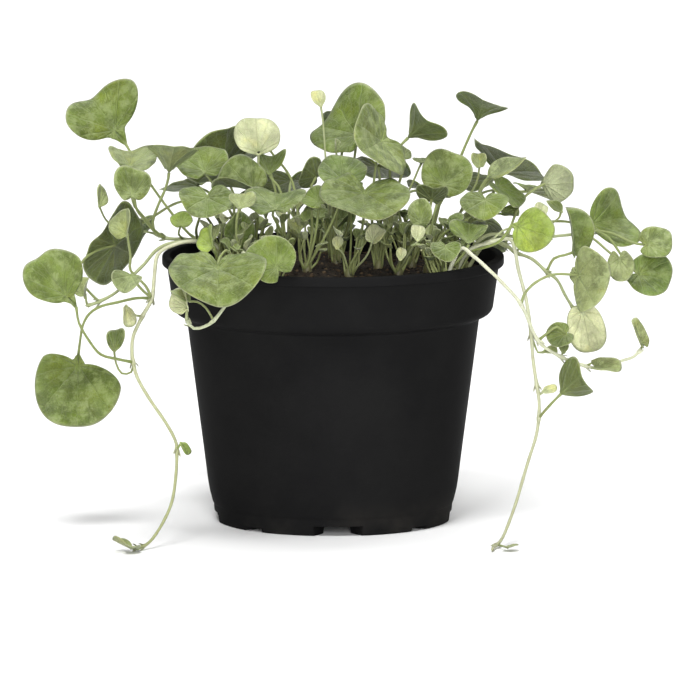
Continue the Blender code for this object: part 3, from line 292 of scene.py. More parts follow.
stem("left_centre", (-16, -6))
leaf("left_centre", None, [(-15.4, 88), (-16, 100), (-18.8, 104.2)],
     (-19.6, 105.6, 4), 10.8, shown(16, 50, 0), "funnel", "green")
leaf("left_centre", None, [(-11, 88), (-12.4, 103), (-18.4, 111.8)],
     (-21.4, 115.5, 12), 12, shown(-12, 140, -10), "kidney", "dark")
leaf("left_centre", None, [(-15.5, 86.5), (-18.4, 93)],
     (-17.6, 94.6, -14), 19, shown(4, 66, -8), "kidney", "sage")

leaf("left_centre", None, [],
     (-11.6, 88.4, -5), 5.4, shown(30, 48, 0), "young", "green", aspect=0.9)

stem("front_left", (-17, -30))
leaf("front_left", None, [(-17, 80.2, -44)],
     (-17.1, 76.6, -54), 16, shown(-38, 14, 0), "kidney", "green", roll=0.5)

# Runner that hangs over the front left of the rim, with the large leaf beside it
stem("front_runner", (-27, -33), [
    (-27.4, 80.8, -42), (-26.6, 79.4, -50), (-27.6, 73.4, -58), (-29.4, 69.4, -60), (-32.7, 65, -59),
    (-36.1, 60.7, -58), (-38.9, 58.9, -57), (-42.2, 58.3, -56), (-44.4, 60.6, -55)])
leaf("front_runner", None, [(-31.5, 81.6), (-34.4, 79.6)],
     (-34.9, 76.3, -48), 30, shown(180, 54, 0), "kidney", "sage", open=166)
leaf("front_runner", 8, [(-44.4, 62.6)],
     (-44.3, 64.6, -55), 9.5, shown(-14, 40, -90), "folded", "cream")
leaf("front_runner", 5, [(-38.6, 64.6), (-41.2, 66.4)],
     (-43.6, 66.4, -57), 5.5, shown(-70, 50, 0), "young", "pale")

# Crowns across the middle of the soil
stem("centre_tall", (1, 3))
leaf("centre_tall", None, [(4.6, 90), (5.8, 104), (7, 114)],
     (7.4, 117.6, 12), 25.6, shown(-32, 50, -32), "kidney", "green", notch=0.0, roll=0.15, fold=5,
     aspect=1.0, offset=0.4)
leaf("centre_tall", None, [(-1, 90), (-2, 106), (-3, 121)],
     (-3.8, 126.8, 14), 5.4, shown(-20, 30, 0), "young", "cream", aspect=1.0)
leaf("centre_tall", None, [(0, 92), (1.2, 106), (1, 112.6)],
     (0.8, 113.2, 2), 3, shown(-6, 50, 90), "young", "pale")

leaf("centre_tall", None, [(-1.6, 86)],
     (-3.6, 92.6, 5), 6.4, shown(-16, 56, 0), "kidney", "green")

stem("centre_left", (-8, -12))
leaf("centre_left", None, [(-6.4, 88), (-7, 100)],
     (-5.2, 104.8, 3), 10.5, shown(-48, 126, -60), "kidney", "dark")
leaf("centre_left", None, [(-5.6, 86), (-4.6, 93)],
     (-4.3, 96.6, -8), 10, shown(-58, 48, 0), "kidney", "green")
leaf("centre_left", None, [(-1.6, 88), (2.6, 98)],
     (3, 103.4, -4), 16, shown(-4, 48, 0), "kidney", "green")

leaf("centre_left", None, [],
     (-10.6, 87.6, -13), 5.2, shown(-30, 40, 0), "young", "pale", aspect=0.9)

stem("centre_front", (5, -22))
leaf("centre_front", None, [(8, 84), (9.6, 94)],
     (9.6, 99.4, -20), 28.5, shown(186, 54, 4), "kidney", "sage", fold=9)
leaf("centre_front", None, [(10, 80)],
     (12.1, 84.9, -25), 8, shown(36, 34, 0), "folded", "cream")
leaf("centre_front", None, [(5.6, 88), (5.4, 96)],
     (5.6, 100.8, -8), 6.8, shown(12, 56, 0), "kidney", "green")

leaf("centre_front", None, [],
     (1.3, 82.8, -25), 4.2, shown(8, 40, 0), "young", "cream", aspect=1.0)

stem("centre_twist", (14, -7))
leaf("centre_twist", None, [(12, 90), (12.6, 104)],
     (14.6, 115.6, -6), 24.5, shown(-122, 56, 58), "kidney", "mottled", fold=12, waist=0.3)
leaf("centre_twist", None, [(16, 90), (20.6, 104), (21.6, 107.6)],
     (21, 110.2, 8), 10, shown(-70, 62, 0), "kidney", "dark")
leaf("centre_twist", None, [(17, 90), (23.4, 101), (26.4, 107.6)],
     (27.2, 109.2, 12), 7.6, shown(80, 80, 6), "kidney", "dark")

leaf("centre_twist", None, [],
     (17.2, 89.4, -8), 5.2, shown(24, 44, 0), "young", "pale", aspect=0.9)

stem("centre_right", (20, -16))
leaf("centre_right", None, [(23.6, 82), (26.2, 87)],
     (26.8, 90.8, -20), 9.2, shown(-6, 20, 0), "folded", "mottled", fold=32, aspect=0.98)
leaf("centre_right", None, [(22.2, 79.6), (24.4, 83)],
     (25.9, 85.2, -26), 5.4, shown(4, 40, 0), "young", "cream", aspect=1.0)
leaf("centre_right", None, [(24, 84), (28.8, 92)],
     (30.2, 97.8, -10), 10, shown(4, 130, 0), "kidney", "dark")

leaf("centre_right", None, [],
     (20.6, 79.4, -26), 4, shown(12, 36, 0), "young", "cream", aspect=1.0)

stem("right_tall", (24, 2))
leaf("right_tall", None, [(20.6, 92), (17.4, 105), (19.6, 112.8)],
     (23, 116.8, 4), 15.5, shown(50, 112, 50), "funnel", "green", roll=0.3, curl=0.1, funnel=0.55)
leaf("right_tall", None, [(30.5, 92), (36.6, 104), (39.6, 112), (42.5, 118.6)],
     (44.4, 122.2, 20), 17.5, shown(12, 100, 14), "funnel", "green", roll=-0.15, curl=0.1, funnel=0.5,
     saddle=0.0, wave=0.03)

stem("right_mid", (29, -9))
leaf("right_mid", None, [(30, 88), (32, 97)],
     (34, 102.3, -4), 17, shown(18, 24, 0), "kidney", "sage", fold=12)
leaf("right_mid", None, [(35, 86), (43, 93.4), (46, 96)],
     (46.5, 97.4, -14), 15, shown(184, 50, 0), "kidney", "sage")

leaf("right_mid", None, [],
     (36.4, 89, -13), 5.4, shown(40, 50, 0), "young", "green", aspect=0.9)

stem("right_rim", (33, -24))
leaf("right_rim", None, [(39.4, 80.4)],
     (41.5, 84, -27), 13, shown(2, 72, 0), "funnel", "green", roll=0.3)
leaf("right_rim", None, [(33.8, 79.4)],
     (34.3, 82.8, -36), 10, shown(182, 48, 0), "kidney", "green", roll=0.5)

stem("right_back", (33, 7))
leaf("right_back", None, [(41, 92), (47, 103)],
     (52.4, 106.4, 24), 27, shown(30, 102, 28), "kidney", "dark")
leaf("right_back", None, [(39, 94), (44, 103)],
     (45, 108.4, 6), 6.2, shown(-12, 25, 0), "folded", "pale")
leaf("right_back", None, [(41.4, 92), (45.6, 102)],
     (47.8, 104.6, 0), 9.5, shown(78, 52, -10), "young", "pale", aspect=0.7)
leaf("right_back", None, [(42.6, 92), (48, 98.6)],
     (50.4, 101.6, 4), 13, shown(132, 60, 42), "kidney", "green", aspect=0.95)
leaf("right_back", None, [(41, 90), (48.4, 93.2)],
     (52.8, 93.6, 6), 7.2, shown(96, 62, 0), "kidney", "green")

# Runners over the right of the rim
stem("right_trail", (37, -16), [
    (41.5, 82, -19), (48, 84.6, -22), (54, 85.6, -24), (55.6, 82, -25), (56.6, 76.3, -25.5),
    (59, 67, -27), (60.5, 56.3, -29), (61.1, 48.6, -31), (62.2, 41, -33), (62.9, 36.3, -34),
    (62.8, 31, -36), (61.9, 25.2, -38), (59.6, 18, -41), (57.8, 12, -44), (55.9, 5.6, -47),
    (53.6, -0.8, -51), (51.6, -5.4, -55), (50, -7.4, -59), (48.8, -8.2, -63), (48.4, -8.8, -67)])
leaf("right_trail", 0, [(46, 83), (51, 85)],
     (54.6, 90, -27), 15, shown(112, 16, 0), "fan", "fresh", offset=0.5, open=108, soft=44, aspect=0.97,
     notch=0.02, roll=0.2, waist=0.22, neck=0.3)
leaf("right_trail", 1, [(51.6, 88), (55.4, 89.4), (59, 90.6)],
     (63, 92.2, -14), 5.4, shown(24, 30, 0), "young", "cream", aspect=1.1)
leaf("right_trail", 10, [(65, 33.6), (67.4, 36.2)],
     (69.6, 38.4, -38), 14, shown(48, 132, 45), "funnel", "dark", roll=0.5)
leaf("right_trail", 8, [(63.4, 38.2)],
     (64.2, 38.9, -34), 3.6, shown(80, 30, 0), "young", "cream")
leaf("right_trail", 6, [(62.6, 51)],
     (64.4, 51, -29), 3.6, shown(96, 50, 0), "young", "pale")
leaf("right_trail", 17, [(52, -8)],
     (53.2, -8.3, -63.5), 5.6, laid(130, -6), "kidney", "pale")

stem("pale_trail", (34, -31), [
    (38.6, 82.4, -31.5), (42.8, 80.3, -35.5), (47, 76.6, -38), (51.4, 72.4, -38), (57.4, 65.5, -36),
    (62.6, 54.6, -34), (69.7, 49.6, -32), (77.4, 46.8, -30), (82, 46.4, -29), (88, 48.4, -27),
    (92, 49.7, -25), (94.2, 52, -24)])
leaf("pale_trail", 7, [(79, 47.8)],
     (80.6, 46.4, -31), 7.4, shown(98, 35, 0), "folded", "pale", aspect=0.7)
leaf("pale_trail", 4, [(58.2, 68.4), (60.6, 71.4), (64.4, 73.8), (68.4, 74.9)],
     (74.9, 74.6, -30), 22, shown(94, 40, -88), "fan", "pale", offset=0.35, open=86, soft=34,
     notch=0.06, waist=0.24, skew=0.13, aspect=1.0)
leaf("pale_trail", 5, [(65.6, 57), (68.4, 58.8)],
     (70.8, 56.5, -32), 9.2, shown(-112, 30, 0), "kidney", "dark")
leaf("pale_trail", 6, [(70, 50.6)],
     (70.4, 51, -30), 4, shown(4, 40, 0), "young", "dark", aspect=1.2)
leaf("pale_trail", 11, [(94.4, 53)],
     (94.2, 53.8, -24), 6.4, shown(-28, 44, 60), "folded", "pale", aspect=0.6, wave=0.0)

stem("right_runner", (41, -4), [
    (47, 84.8, -6), (52.8, 83.8, -8), (56, 81.6, -8), (61, 79.6, -10), (65.4, 75.7, -12),
    (68.6, 73.2, -14), (71, 68.6, -16), (73.4, 64.6, -18)])
leaf("right_runner", 7, [(74.8, 65)],
     (76.4, 63.4, -20), 12.2, shown(170, 20, 0), "kidney", "cream", offset=0.7, open=130, roll=0.4,
     aspect=0.7)
leaf("right_runner", 4, [(67.6, 79.7), (71, 80.8)],
     (74, 81.8, -10), 12, shown(-8, 38, 84), "folded", "green", offset=0.7, aspect=0.68)
leaf("right_runner", 1, [(54, 88), (57.6, 97), (61.4, 100.8)],
     (65, 102.8, 12), 12.6, shown(88, 152, 90), "fan", "pale", offset=0.5, open=108, soft=40, aspect=1.05,
     waist=0.28, wave=0.1)
leaf("right_runner", 2, [(60, 86), (66.6, 90.2), (69.4, 92.4)],
     (69.9, 94, -4), 4.6, shown(-60, 50, 0), "young", "dark")

stem("right_outer", (38, 6), [
    (47, 86.8, 9), (56, 86.6, 12), (66, 86.6, 14), (76, 87.6, 16), (80.4, 88.6, 17)])
leaf("right_outer", 2, [(62, 90.2), (70, 91.4)],
     (77.2, 90.2, 20), 21.5, shown(82, 34, 60), "fan", "green", offset=0.5, open=120, soft=56,
     aspect=1.2, notch=0.04, waist=0.26, neck=0.42, fold=22, roll=0.3, skew=0.08)
leaf("right_outer", 4, [(86, 87.6), (92, 84.8)],
     (96.9, 84, 12), 11.8, shown(84, 28, 0), "kidney", "mottled")
leaf("right_outer", 4, [(85, 86), (90, 79)],
     (94, 74.8, 8), 16, shown(106, 34, 20), "kidney", "green")
leaf("right_outer", 3, [(80, 86), (84.6, 82)],
     (88, 79.4, 2), 8.4, shown(172, 20, 0), "kidney", "pale", aspect=0.75)


# Crowns at the back of the soil, with leaves that the front view hides
stem("back_left", (-31, 20))
leaf("back_left", None, [],
     placed(-42, 38, 98), 19, laid(-40, 24), "kidney", "sage")
leaf("back_left", None, [placed(-44, 44, 92)[:2]],
     placed(-60, 52, 84), 20, laid(-62, 40), "drooped", "green")
leaf("back_left", None, [],
     placed(-30, 52, 92), 17, laid(-20, 34), "kidney", "green")

stem("back_inner_left", (-14, 23))
leaf("back_inner_left", None, [],
     placed(-24, 40, 109), 19, laid(-30, 30), "kidney", "sage")
leaf("back_inner_left", None, [],
     placed(-13, 50, 98), 18, laid(-10, 38), "kidney", "green")

stem("back_middle", (0, 19))
leaf("back_middle", None, [],
     placed(5, 36, 118), 20, laid(10, 34), "kidney", "green")
leaf("back_middle", None, [],
     placed(-1, 56, 90), 17, laid(-6, 46), "drooped", "sage")

stem("back_inner_right", (15, 22))
leaf("back_inner_right", None, [],
     placed(14, 44, 103), 19, laid(16, 36), "kidney", "sage")
leaf("back_inner_right", None, [],
     placed(28, 46, 96), 16, laid(34, 30), "kidney", "green")

stem("back_right", (29, 21))
leaf("back_right", None, [],
     placed(38, 34, 101), 18, laid(40, 26), "kidney", "green")
leaf("back_right", None, [],
     placed(46, 46, 86), 19, laid(52, 40), "drooped", "sage")
leaf("back_right", None, [],
     placed(60, 40, 96), 17, laid(64, 28), "kidney", "mottled")

stem("back_left_runner", (-25, 35), [
    placed(-30, 42, 84.5), placed(-36, 49, 82.5), placed(-39, 54, 75), placed(-38, 57, 64),
    placed(-35, 60, 52), placed(-33, 63, 40)])
leaf("back_left_runner", 2, [],
     placed(-42, 66, 70), 18, laid(-20, 62), "drooped", "sage")
leaf("back_left_runner", 4, [],
     placed(-29, 70, 49), 17, laid(10, 66), "drooped", "green")
leaf("back_left_runner", 5, [],
     placed(-32, 66, 34), 11, laid(-14, 70), "kidney", "pale")

stem("back_trail", (-3, 39), [
    placed(-3, 48, 86), placed(-1, 56, 84), placed(1, 61, 74), placed(3, 64, 60), placed(4, 66, 46),
    placed(7, 68, 32), placed(10, 70, 19), placed(13, 72, 8), placed(17, 75, 2), placed(22, 78, 0.9),
    placed(27, 79, 0.9)])
leaf("back_trail", 2, [],
     placed(-8, 74, 66), 20, laid(-24, 60), "drooped", "green")
leaf("back_trail", 4, [],
     placed(12, 76, 44), 17, laid(26, 62), "drooped", "sage")
leaf("back_trail", 6, [],
     placed(3, 78, 19), 14, laid(-30, 50), "kidney", "mottled")
leaf("back_trail", 10, [],
     placed(28.4, 79.2, 1), 6, laid(70, -12), "young", "pale")

stem("back_right_runner", (22, 34), [
    placed(26, 42, 84.5), placed(31, 49, 83), placed(34, 54, 76), placed(34, 57, 66),
    placed(32, 60, 56)])
leaf("back_right_runner", 1, [],
     placed(22, 64, 79), 18, laid(-4, 56), "drooped", "sage")
leaf("back_right_runner", 3, [],
     placed(38, 64, 62), 17, laid(30, 64), "drooped", "green")
leaf("back_right_runner", 4, [],
     placed(30, 66, 50), 12, laid(0, 68), "kidney", "pale")


# Leaves set further back or forward, and petioles bowed, to pass their neighbours: millimetres
MOVED = {
    ("left_runner", 1): (-4, 0),
    ("left_upper", 3): (0, 10),
    ("left_back", 0): (4, 0),
    ("left_back", 2): (9, 0),
    ("left_centre", 0): (2, 0),
    ("left_centre", 1): (4, 0),
    ("left_centre", 2): (-9, 0),
    ("front_runner", 0): (-12, 0),
    ("centre_tall", 1): (-6, 0),
    ("centre_left", 2): (-4, 0),
    ("centre_front", 2): (2, 0),
    ("right_tall", 0): (0, -3),
    ("right_runner", 2): (0, 3),
    ("right_outer", 2): (2, -3),
    ("back_left", 0): (2, 0),
    ("back_inner_left", 0): (2, 0),
}


def curve_through(points, spacing):
    """Points at an even spacing along a smooth curve through the given ones."""
    ends = [points[0] * 2 - points[1]] + list(points) + [points[-1] * 2 - points[-2]]
    path = [points[0].copy()]
    for first, start, end, last in zip(ends, ends[1:], ends[2:], ends[3:]):
        pieces = max(1, round((end - start).length / spacing))
        for step in range(1, pieces + 1):
            t = step / pieces
            tangents = (end - first) * 0.5, (last - start) * 0.5
            path.append(start * (2 * t ** 3 - 3 * t ** 2 + 1) + tangents[0] * (t ** 3 - 2 * t ** 2 + t)
                        + end * (3 * t ** 2 - 2 * t ** 3) + tangents[1] * (t ** 3 - t ** 2))
    return path


def crown_point(item):
    x, y = item.base
    return Vector((x, y, soil_height(x, y) + CROWN_RISE))


def route_points(item):
    """The runner's own points, from inside its crown's stub."""
    return [crown_point(item)] + [seen(*point) for point in item.route]


def petiole_points(item, blade):
    """From the crown or a runner's point, through the places seen, to the blade's junction."""
    if blade.root is None:
        start = placed(*crown_point(item))
    else:
        start = item.route[blade.root]
    across, up, back = blade.junction
    flat = [Vector(point[:2]) for point in (start, *blade.via, (across, up))]
    runs = [(b - a).length for a, b in zip(flat, flat[1:])]
    total = sum(runs) or 1
    points = []
    gone = 0
    for place, run in zip(flat, [0] + runs):
        gone += run
        t = gone / total
        depth = start[2] * (1 - t) + (back + blade.shift) * t + blade.bow * math.sin(math.pi * t)
        points.append(seen(place.x, place.y, depth))
    if len(points) == 2:
        middle = (points[0] + points[1]) / 2
        rise = (points[1] - points[0]).length * 0.22
        points.insert(1, middle + Vector((0, -blade.bow * 0.3, rise)))
    return points


def neck_share(blade, angle):
    """1 along the narrow neck behind the blade's throat, 0 to its sides."""
    if not blade.shape["neck"]:
        return 0
    return math.exp(-((180 - abs(math.degrees(angle))) / NECK_ANGLE) ** 2)


def outline_radius(blade, angle):
    """Distance from the blade's throat to its margin, as a share of the blade's radius."""
    shape = blade.shape
    offset = shape["offset"]
    edge = offset * math.cos(angle) + math.sqrt(1 - (offset * math.sin(angle)) ** 2)
    edge *= 1 - shape["notch"] * math.exp(-(math.degrees(angle) / TIP_NOTCH_ANGLE) ** 2)
    edge *= 1 + shape["skew"] * math.sin(angle)
    edge *= 1 + sum(size * math.sin(waves * angle + turns * blade.phase)
                    for waves, turns, size in MARGIN_RIPPLES)
    soft = shape["soft"]
    lobe_end = shape["open"] + math.copysign(shape["lop"], angle)
    share = min(1, max(0, (abs(math.degrees(angle)) - lobe_end + soft) / (soft + 10)))
    share = share * share * (3 - 2 * share)
    back = max(shape["waist"], SINUS_RADIUS / blade_radius(blade))
    if shape["neck"] and math.cos(angle) < 0:
        back = 1 / (abs(math.sin(angle)) / back - math.cos(angle) / shape["neck"])
    return edge * (1 - share) + back * share


def bent(distance, curvature):
    """Place and rise along an arc that starts flat."""
    if abs(curvature) < 1e-4:
        return distance, 0
    return math.sin(curvature * distance) / curvature, (1 - math.cos(curvature * distance)) / curvature


def blade_point(blade, angle, share):
    """A point of the blade, as a share of its radius, in the blade's own axes round its throat."""
    shape = blade.shape
    reach = outline_radius(blade, angle) * share
    u = math.sin(angle) * reach * shape["aspect"]
    v = math.cos(angle) * reach
    side, rise_u = bent(u, shape["roll"])
    along, rise_v = bent(v, shape["curl"])
    crease = math.radians(shape["fold"])
    height = rise_u + rise_v + (math.sqrt(side * side + 0.02) - 0.1414) * math.sin(crease)
    neck = neck_share(blade, angle)
    height += shape["funnel"] * (1 - math.exp(-reach / FUNNEL_REACH)) * (1 - neck)
    height += shape["wave"] * math.sin(3 * angle + blade.phase) * reach * reach
    height += shape["saddle"] * math.cos(2 * angle + blade.phase * 1.7) * reach * reach
    return Vector((side * math.cos(crease), along, height))


def blade_radius(blade):
    return blade.width / 2 / blade.shape["aspect"]


def blade_place(blade, point):
    """The petiole ends at the blade's throat, or near the end of its neck."""
    across, up, back = blade.junction
    joint = blade_point(blade, math.pi, NECK_JOIN) if blade.shape["neck"] else Vector()
    return seen(across, up, back + blade.shift) + blade.axes @ ((point - joint) * blade_radius(blade))


# Colours of a leaf's upper face, its underside, and how much silver mottling it has; the darkest tone is painted
# shade, for leaves that face away from the light
TONES = {
    "sage": ((0.094, 0.136, 0.021), (0.094, 0.120, 0.033), 0.65),
    "green": ((0.088, 0.132, 0.018), (0.088, 0.116, 0.030), 0.5),
    "dark": ((0.078, 0.108, 0.018), (0.084, 0.106, 0.027), 0.35),
    "pale": ((0.190, 0.226, 0.092), (0.320, 0.345, 0.200), 0.9),
    "cream": ((0.460, 0.495, 0.320), (0.380, 0.410, 0.255), 0.5),
    "mottled": ((0.118, 0.160, 0.042), (0.185, 0.214, 0.092), 1.0),
    "fresh": ((0.190, 0.270, 0.036), (0.170, 0.225, 0.050), 0.35),
}
RIM_COLOUR = (0.30, 0.33, 0.16)
VEIN_SPACING = 0.62
FINE_THICKNESS = 0.36
FINE_PETIOLE = 0.46
FINE_RUNNER = 0.62
GROUND_GAP = 0.06
UNDERGROWTH = 7

# Stem colours, from the crown to the tip, and of petioles; the petioles' base colour is painted shade, darker near
# the soil under the canopy
PETIOLE_SHADED_BASE = (0.150, 0.170, 0.050)
PETIOLE_HIGH = (0.270, 0.310, 0.115)
RUNNER_COLOURS = {
    "left_trail": ((0.52, 0.53, 0.36), (0.30, 0.32, 0.15)),
    "front_runner": ((0.50, 0.52, 0.33), (0.46, 0.50, 0.33)),
    "right_trail": ((0.50, 0.52, 0.36), (0.36, 0.37, 0.22)),
    "pale_trail": ((0.55, 0.56, 0.42), (0.50, 0.52, 0.36)),
}
RUNNER_COLOUR = ((0.34, 0.37, 0.19), (0.30, 0.34, 0.17))


def blended(first, second, share):
    return tuple(a + (b - a) * share for a, b in zip(first, second))


def swell(share):
    """0 to 1 with level ends."""
    share = min(1, max(0, share))
    return share * share * (3 - 2 * share)


class Sheet:
    """A mesh in the making: points in millimetres, faces, and what the materials read."""

    def __init__(self):
        self.points = []
        self.faces = []
        self.slots = []
        self.tint = []
        self.flat = []
        self.polar = []
        self.leafy = []

    def add(self, point, tint, flat, polar=(0, 0, 0), leafy=(0, 0, 0)):
        self.points.append(Vector((point.x, point.y, max(point.z, GROUND_GAP))))
        self.tint.append((*tint, 1))
        self.flat.append(flat)
        self.polar.append(polar)
        self.leafy.append(leafy)
        return len(self.points) - 1

    def face(self, corners, slot):
        self.faces.append(corners)
        self.slots.append(slot)

    def made(self, name, materials):
        mesh = bpy.data.meshes.new(name)
        mesh.from_pydata([point * MM + AXIS for point in self.points], [], self.faces)
        for one in materials:
            mesh.materials.append(one)
        mesh.polygons.foreach_set("material_index", self.slots)
        tint = mesh.color_attributes.new("tint", "FLOAT_COLOR", "POINT")
        tint.data.foreach_set("color", [value for item in self.tint for value in item])
        for label, values in (("flat", self.flat), ("polar", self.polar), ("leafy", self.leafy)):
            layer = mesh.attributes.new(label, "FLOAT_VECTOR", "POINT")
            layer.data.foreach_set("vector", [value for item in values for value in item])
        mesh.shade_smooth()
        mesh.update()
        made = bpy.data.objects.new(name, mesh)
        bpy.context.scene.collection.objects.link(made)
        return made


def margin_angles(blade, count):
    """Angles round the junction, at an even spacing along the margin."""
    steps = 720
    angles = [-math.pi + math.tau * step / steps for step in range(steps + 1)]
    places = []
    for angle in angles:
        reach = outline_radius(blade, angle)
        places.append(Vector((math.sin(angle) * reach * blade.shape["aspect"], math.cos(angle) * reach)))
    lengths = [0]
    for first, second in zip(places, places[1:]):
        lengths.append(lengths[-1] + (second - first).length)
    chosen = []
    step = 0
    for number in range(count):
        wanted = lengths[-1] * number / count
        while lengths[step + 1] < wanted:
            step += 1
        share = (wanted - lengths[step]) / (lengths[step + 1] - lengths[step])
        chosen.append(angles[step] + share * math.tau / steps)
    return chosen


def relief(blade, angle, share, reach):
    """Height of the blade above its plain form, in millimetres: quilting, ruffle and rim."""
    between = abs(math.sin(math.pi * angle / VEIN_SPACING))
    forks = abs(math.sin(2 * math.pi * angle / VEIN_SPACING))
    size = blade_radius(blade) / 12
    quilt = 0.34 * size * between ** 0.8 * math.sin(math.pi * min(1, share * 0.92)) ** 0.8
    quilt += 0.12 * size * forks * swell((share - 0.35) / 0.5) * (1 - swell((share - 0.85) / 0.15))
    ruffle = 0.42 * size * share ** 5 * (math.sin(5 * angle + blade.phase)
                                         + 0.6 * math.sin(8 * angle + 2.3 * blade.phase))
    rim = -0.5 * size * swell((share - 0.8) / 0.2)
    return quilt + ruffle + rim


def fine_blade(sheet, blade, seed):
    """A blade with two faces and a thin rim, over the same form as the solid one."""
    if blade.width >= 14:
        count, rings = 84, 13
    elif blade.width >= 8:
        count, rings = 56, 9
    else:
        count, rings = 36, 6
    upper, under, silver = TONES[blade.tone]
    radius = blade_radius(blade)
    angles = margin_angles(blade, count)
    shares = [(ring / rings) ** 0.85 for ring in range(1, rings + 1)]
    middle = [[None] * count for _ in shares]
    for row, share in enumerate(shares):
        for step, angle in enumerate(angles):
            point = blade_point(blade, angle, share)
            reach = outline_radius(blade, angle) * share
            point.z += relief(blade, angle, share, reach) / radius
            middle[row][step] = blade_place(blade, point)
    centre = blade_place(blade, blade_point(blade, 0, 0))
    vary = 0.9 + 0.2 * ((seed * 0.618) % 1)
    lean = 0.5 + 0.5 * math.sin(seed * 1.7)
    tops = []
    lows = []
    for row, share in enumerate(shares):
        top_row = []
        low_row = []
        for step, angle in enumerate(angles):
            point = middle[row][step]
            left = middle[row][step - 1]
            right = middle[row][(step + 1) % count]
            inner = middle[row - 1][step] if row else centre
            outer = middle[row + 1][step] if row + 1 < rings else point
            normal = (outer - inner).cross(right - left)
            normal = -normal.normalized() if normal.length > 1e-9 else blade.axes.col[2].copy()
            if normal.dot(blade.axes.col[2]) < 0:
                normal = -normal
            reach = outline_radius(blade, angle) * share
            u = math.sin(angle) * reach * blade.shape["aspect"] * radius
            v = math.cos(angle) * reach * radius
            flat = (u + 17.3 * seed, v - 9.1 * seed, seed * 5.7)
            polar = (angle / VEIN_SPACING, reach * radius, share)
            broad = noise.noise(Vector((u * 0.16, v * 0.16, seed * 3.1)))
            rim = swell((share - 0.93) / 0.07)
            near = 1 - swell(reach * radius / 3.5)
            shade = vary * (1 + 0.22 * broad)
            warm = (1 + 0.06 * lean, 1, 1 - 0.12 * lean)
            top = tuple(value * shade * tilt for value, tilt in zip(upper, warm))
            top = blended(top, RIM_COLOUR, 0.55 * rim)
            top = blended(top, (0.30, 0.36, 0.14), 0.35 * near)
            low = tuple(value * shade for value in under)
            low = blended(low, RIM_COLOUR, 0.35 * rim)
            last = row + 1 == rings
            half = FINE_THICKNESS / 2 * math.sqrt(max(0, 1 - share ** 6))
            if last:
                index = sheet.add(point, blended(top, low, 0.5), flat, polar, (silver, 0.5, rim))
                top_row.append(index)
                low_row.append(index)
            else:
                top_row.append(sheet.add(point + normal * half, top, flat, polar, (silver, 1, rim)))
                low_row.append(sheet.add(point - normal * half, low, flat, polar, (silver * 0.3, 0, rim)))
        tops.append(top_row)
        lows.append(low_row)
    axis = blade.axes.col[2]
    flat = (17.3 * seed, -9.1 * seed, seed * 5.7)
    top_centre = sheet.add(centre + axis * 0.15, upper, flat, (0, 0, 0), (silver, 1, 0))
    low_centre = sheet.add(centre - axis * 0.15, under, flat, (0, 0, 0), (0, 0, 0))
    for step in range(count):
        after = (step + 1) % count
        sheet.face((top_centre, tops[0][after], tops[0][step]), 0)
        sheet.face((low_centre, lows[0][step], lows[0][after]), 0)
        for row in range(rings - 1):
            a, b = tops[row][step], tops[row][after]
            c, d = tops[row + 1][after], tops[row + 1][step]
            sheet.face((a, b, c, d), 0)
            a, b = lows[row][step], lows[row][after]
            c, d = lows[row + 1][after], lows[row + 1][step]
            sheet.face((a, d, c, b), 0)


def fine_tube(sheet, points, radii, tints, sides, slot, seed):
    """A round stem along the points, with a radius and a colour at each."""
    tangents = [(points[1] - points[0]).normalized()]
    tangents += [(c - a).normalized() for a, c in zip(points, points[2:])]
    tangents.append((points[-1] - points[-2]).normalized())
    across = tangents[0].orthogonal().normalized()
    rings = []
    gone = 0
    for number, (point, tangent) in enumerate(zip(points, tangents)):
        if number:
            gone += (point - points[number - 1]).length
        across = (across - tangent * across.dot(tangent)).normalized()
        other = tangent.cross(across)
        ring = []
        for side in range(sides):
            angle = math.tau * side / sides
            place = point + (across * math.cos(angle) + other * math.sin(angle)) * radii[number]
            flat = (math.cos(angle) * 1.2 + seed * 7.7, gone + seed * 3.3, math.sin(angle) * 1.2)
            ring.append(sheet.add(place, tints[number], flat, (0, gone, 0), (0, 0.5, 0)))
        rings.append(ring)
    for low, high in zip(rings, rings[1:]):
        for side in range(sides):
            after = (side + 1) % sides
            sheet.face((low[side], low[after], high[after], high[side]), slot)
    sheet.face(tuple(reversed(rings[0])), slot)
    sheet.face(tuple(rings[-1]), slot)


def fine_petiole(sheet, item, blade, seed):
    points = curve_through(petiole_points(item, blade), 1.6)
    count = len(points)
    share = 1.0 if blade.width > 8 else 0.75
    tone = TONES[blade.tone][0]
    high = blended(PETIOLE_HIGH, tone, 0.35)
    # Crown petioles start from the painted shade colour near the soil; runner petioles start from the leaf's tone
    low = PETIOLE_SHADED_BASE if blade.root is None else blended(PETIOLE_HIGH, tone, 0.5)
    radii = []
    tints = []
    for number in range(count):
        t = number / (count - 1)
        flare = 0.25 * swell((t - 0.93) / 0.07) + 0.3 * (1 - swell(t / 0.08))
        knobs = 0.05 * math.sin(number * 1.9 + seed)
        radii.append(FINE_PETIOLE * share * (0.98 - 0.12 * t + flare + knobs))
        tints.append(blended(low, high, swell(t * 1.6)))
    fine_tube(sheet, points, radii, tints, 8, 1, seed)


def fine_runner(sheet, item, seed):
    guide = route_points(item)
    points = curve_through(guide, 1.5)
    first, last = RUNNER_COLOURS.get(item.name, RUNNER_COLOUR)
    joints = [seen(*item.route[blade.root]) for blade in item.leaves if blade.root is not None]
    radii = []
    tints = []
    for number, point in enumerate(points):
        t = number / (len(points) - 1)
        gap = min([(point - joint).length for joint in joints] or [99])
        knot = 0.38 * math.exp(-(gap / 1.3) ** 2)
        radii.append(FINE_RUNNER * (1 - 0.28 * t + knot + 0.04 * math.sin(number * 1.3 + seed)))
        tints.append(blended(first, last, swell(t)))
    fine_tube(sheet, points, radii, tints, 9, 1, seed)
    for number, joint in enumerate(joints):
        nearest = min(range(1, len(points) - 1), key=lambda step: (points[step] - joint).length)
        along = (points[nearest + 1] - points[nearest - 1]).normalized()
        bract(sheet, points[nearest], along, seed + number * 2.1, blended(first, last, 0.5))


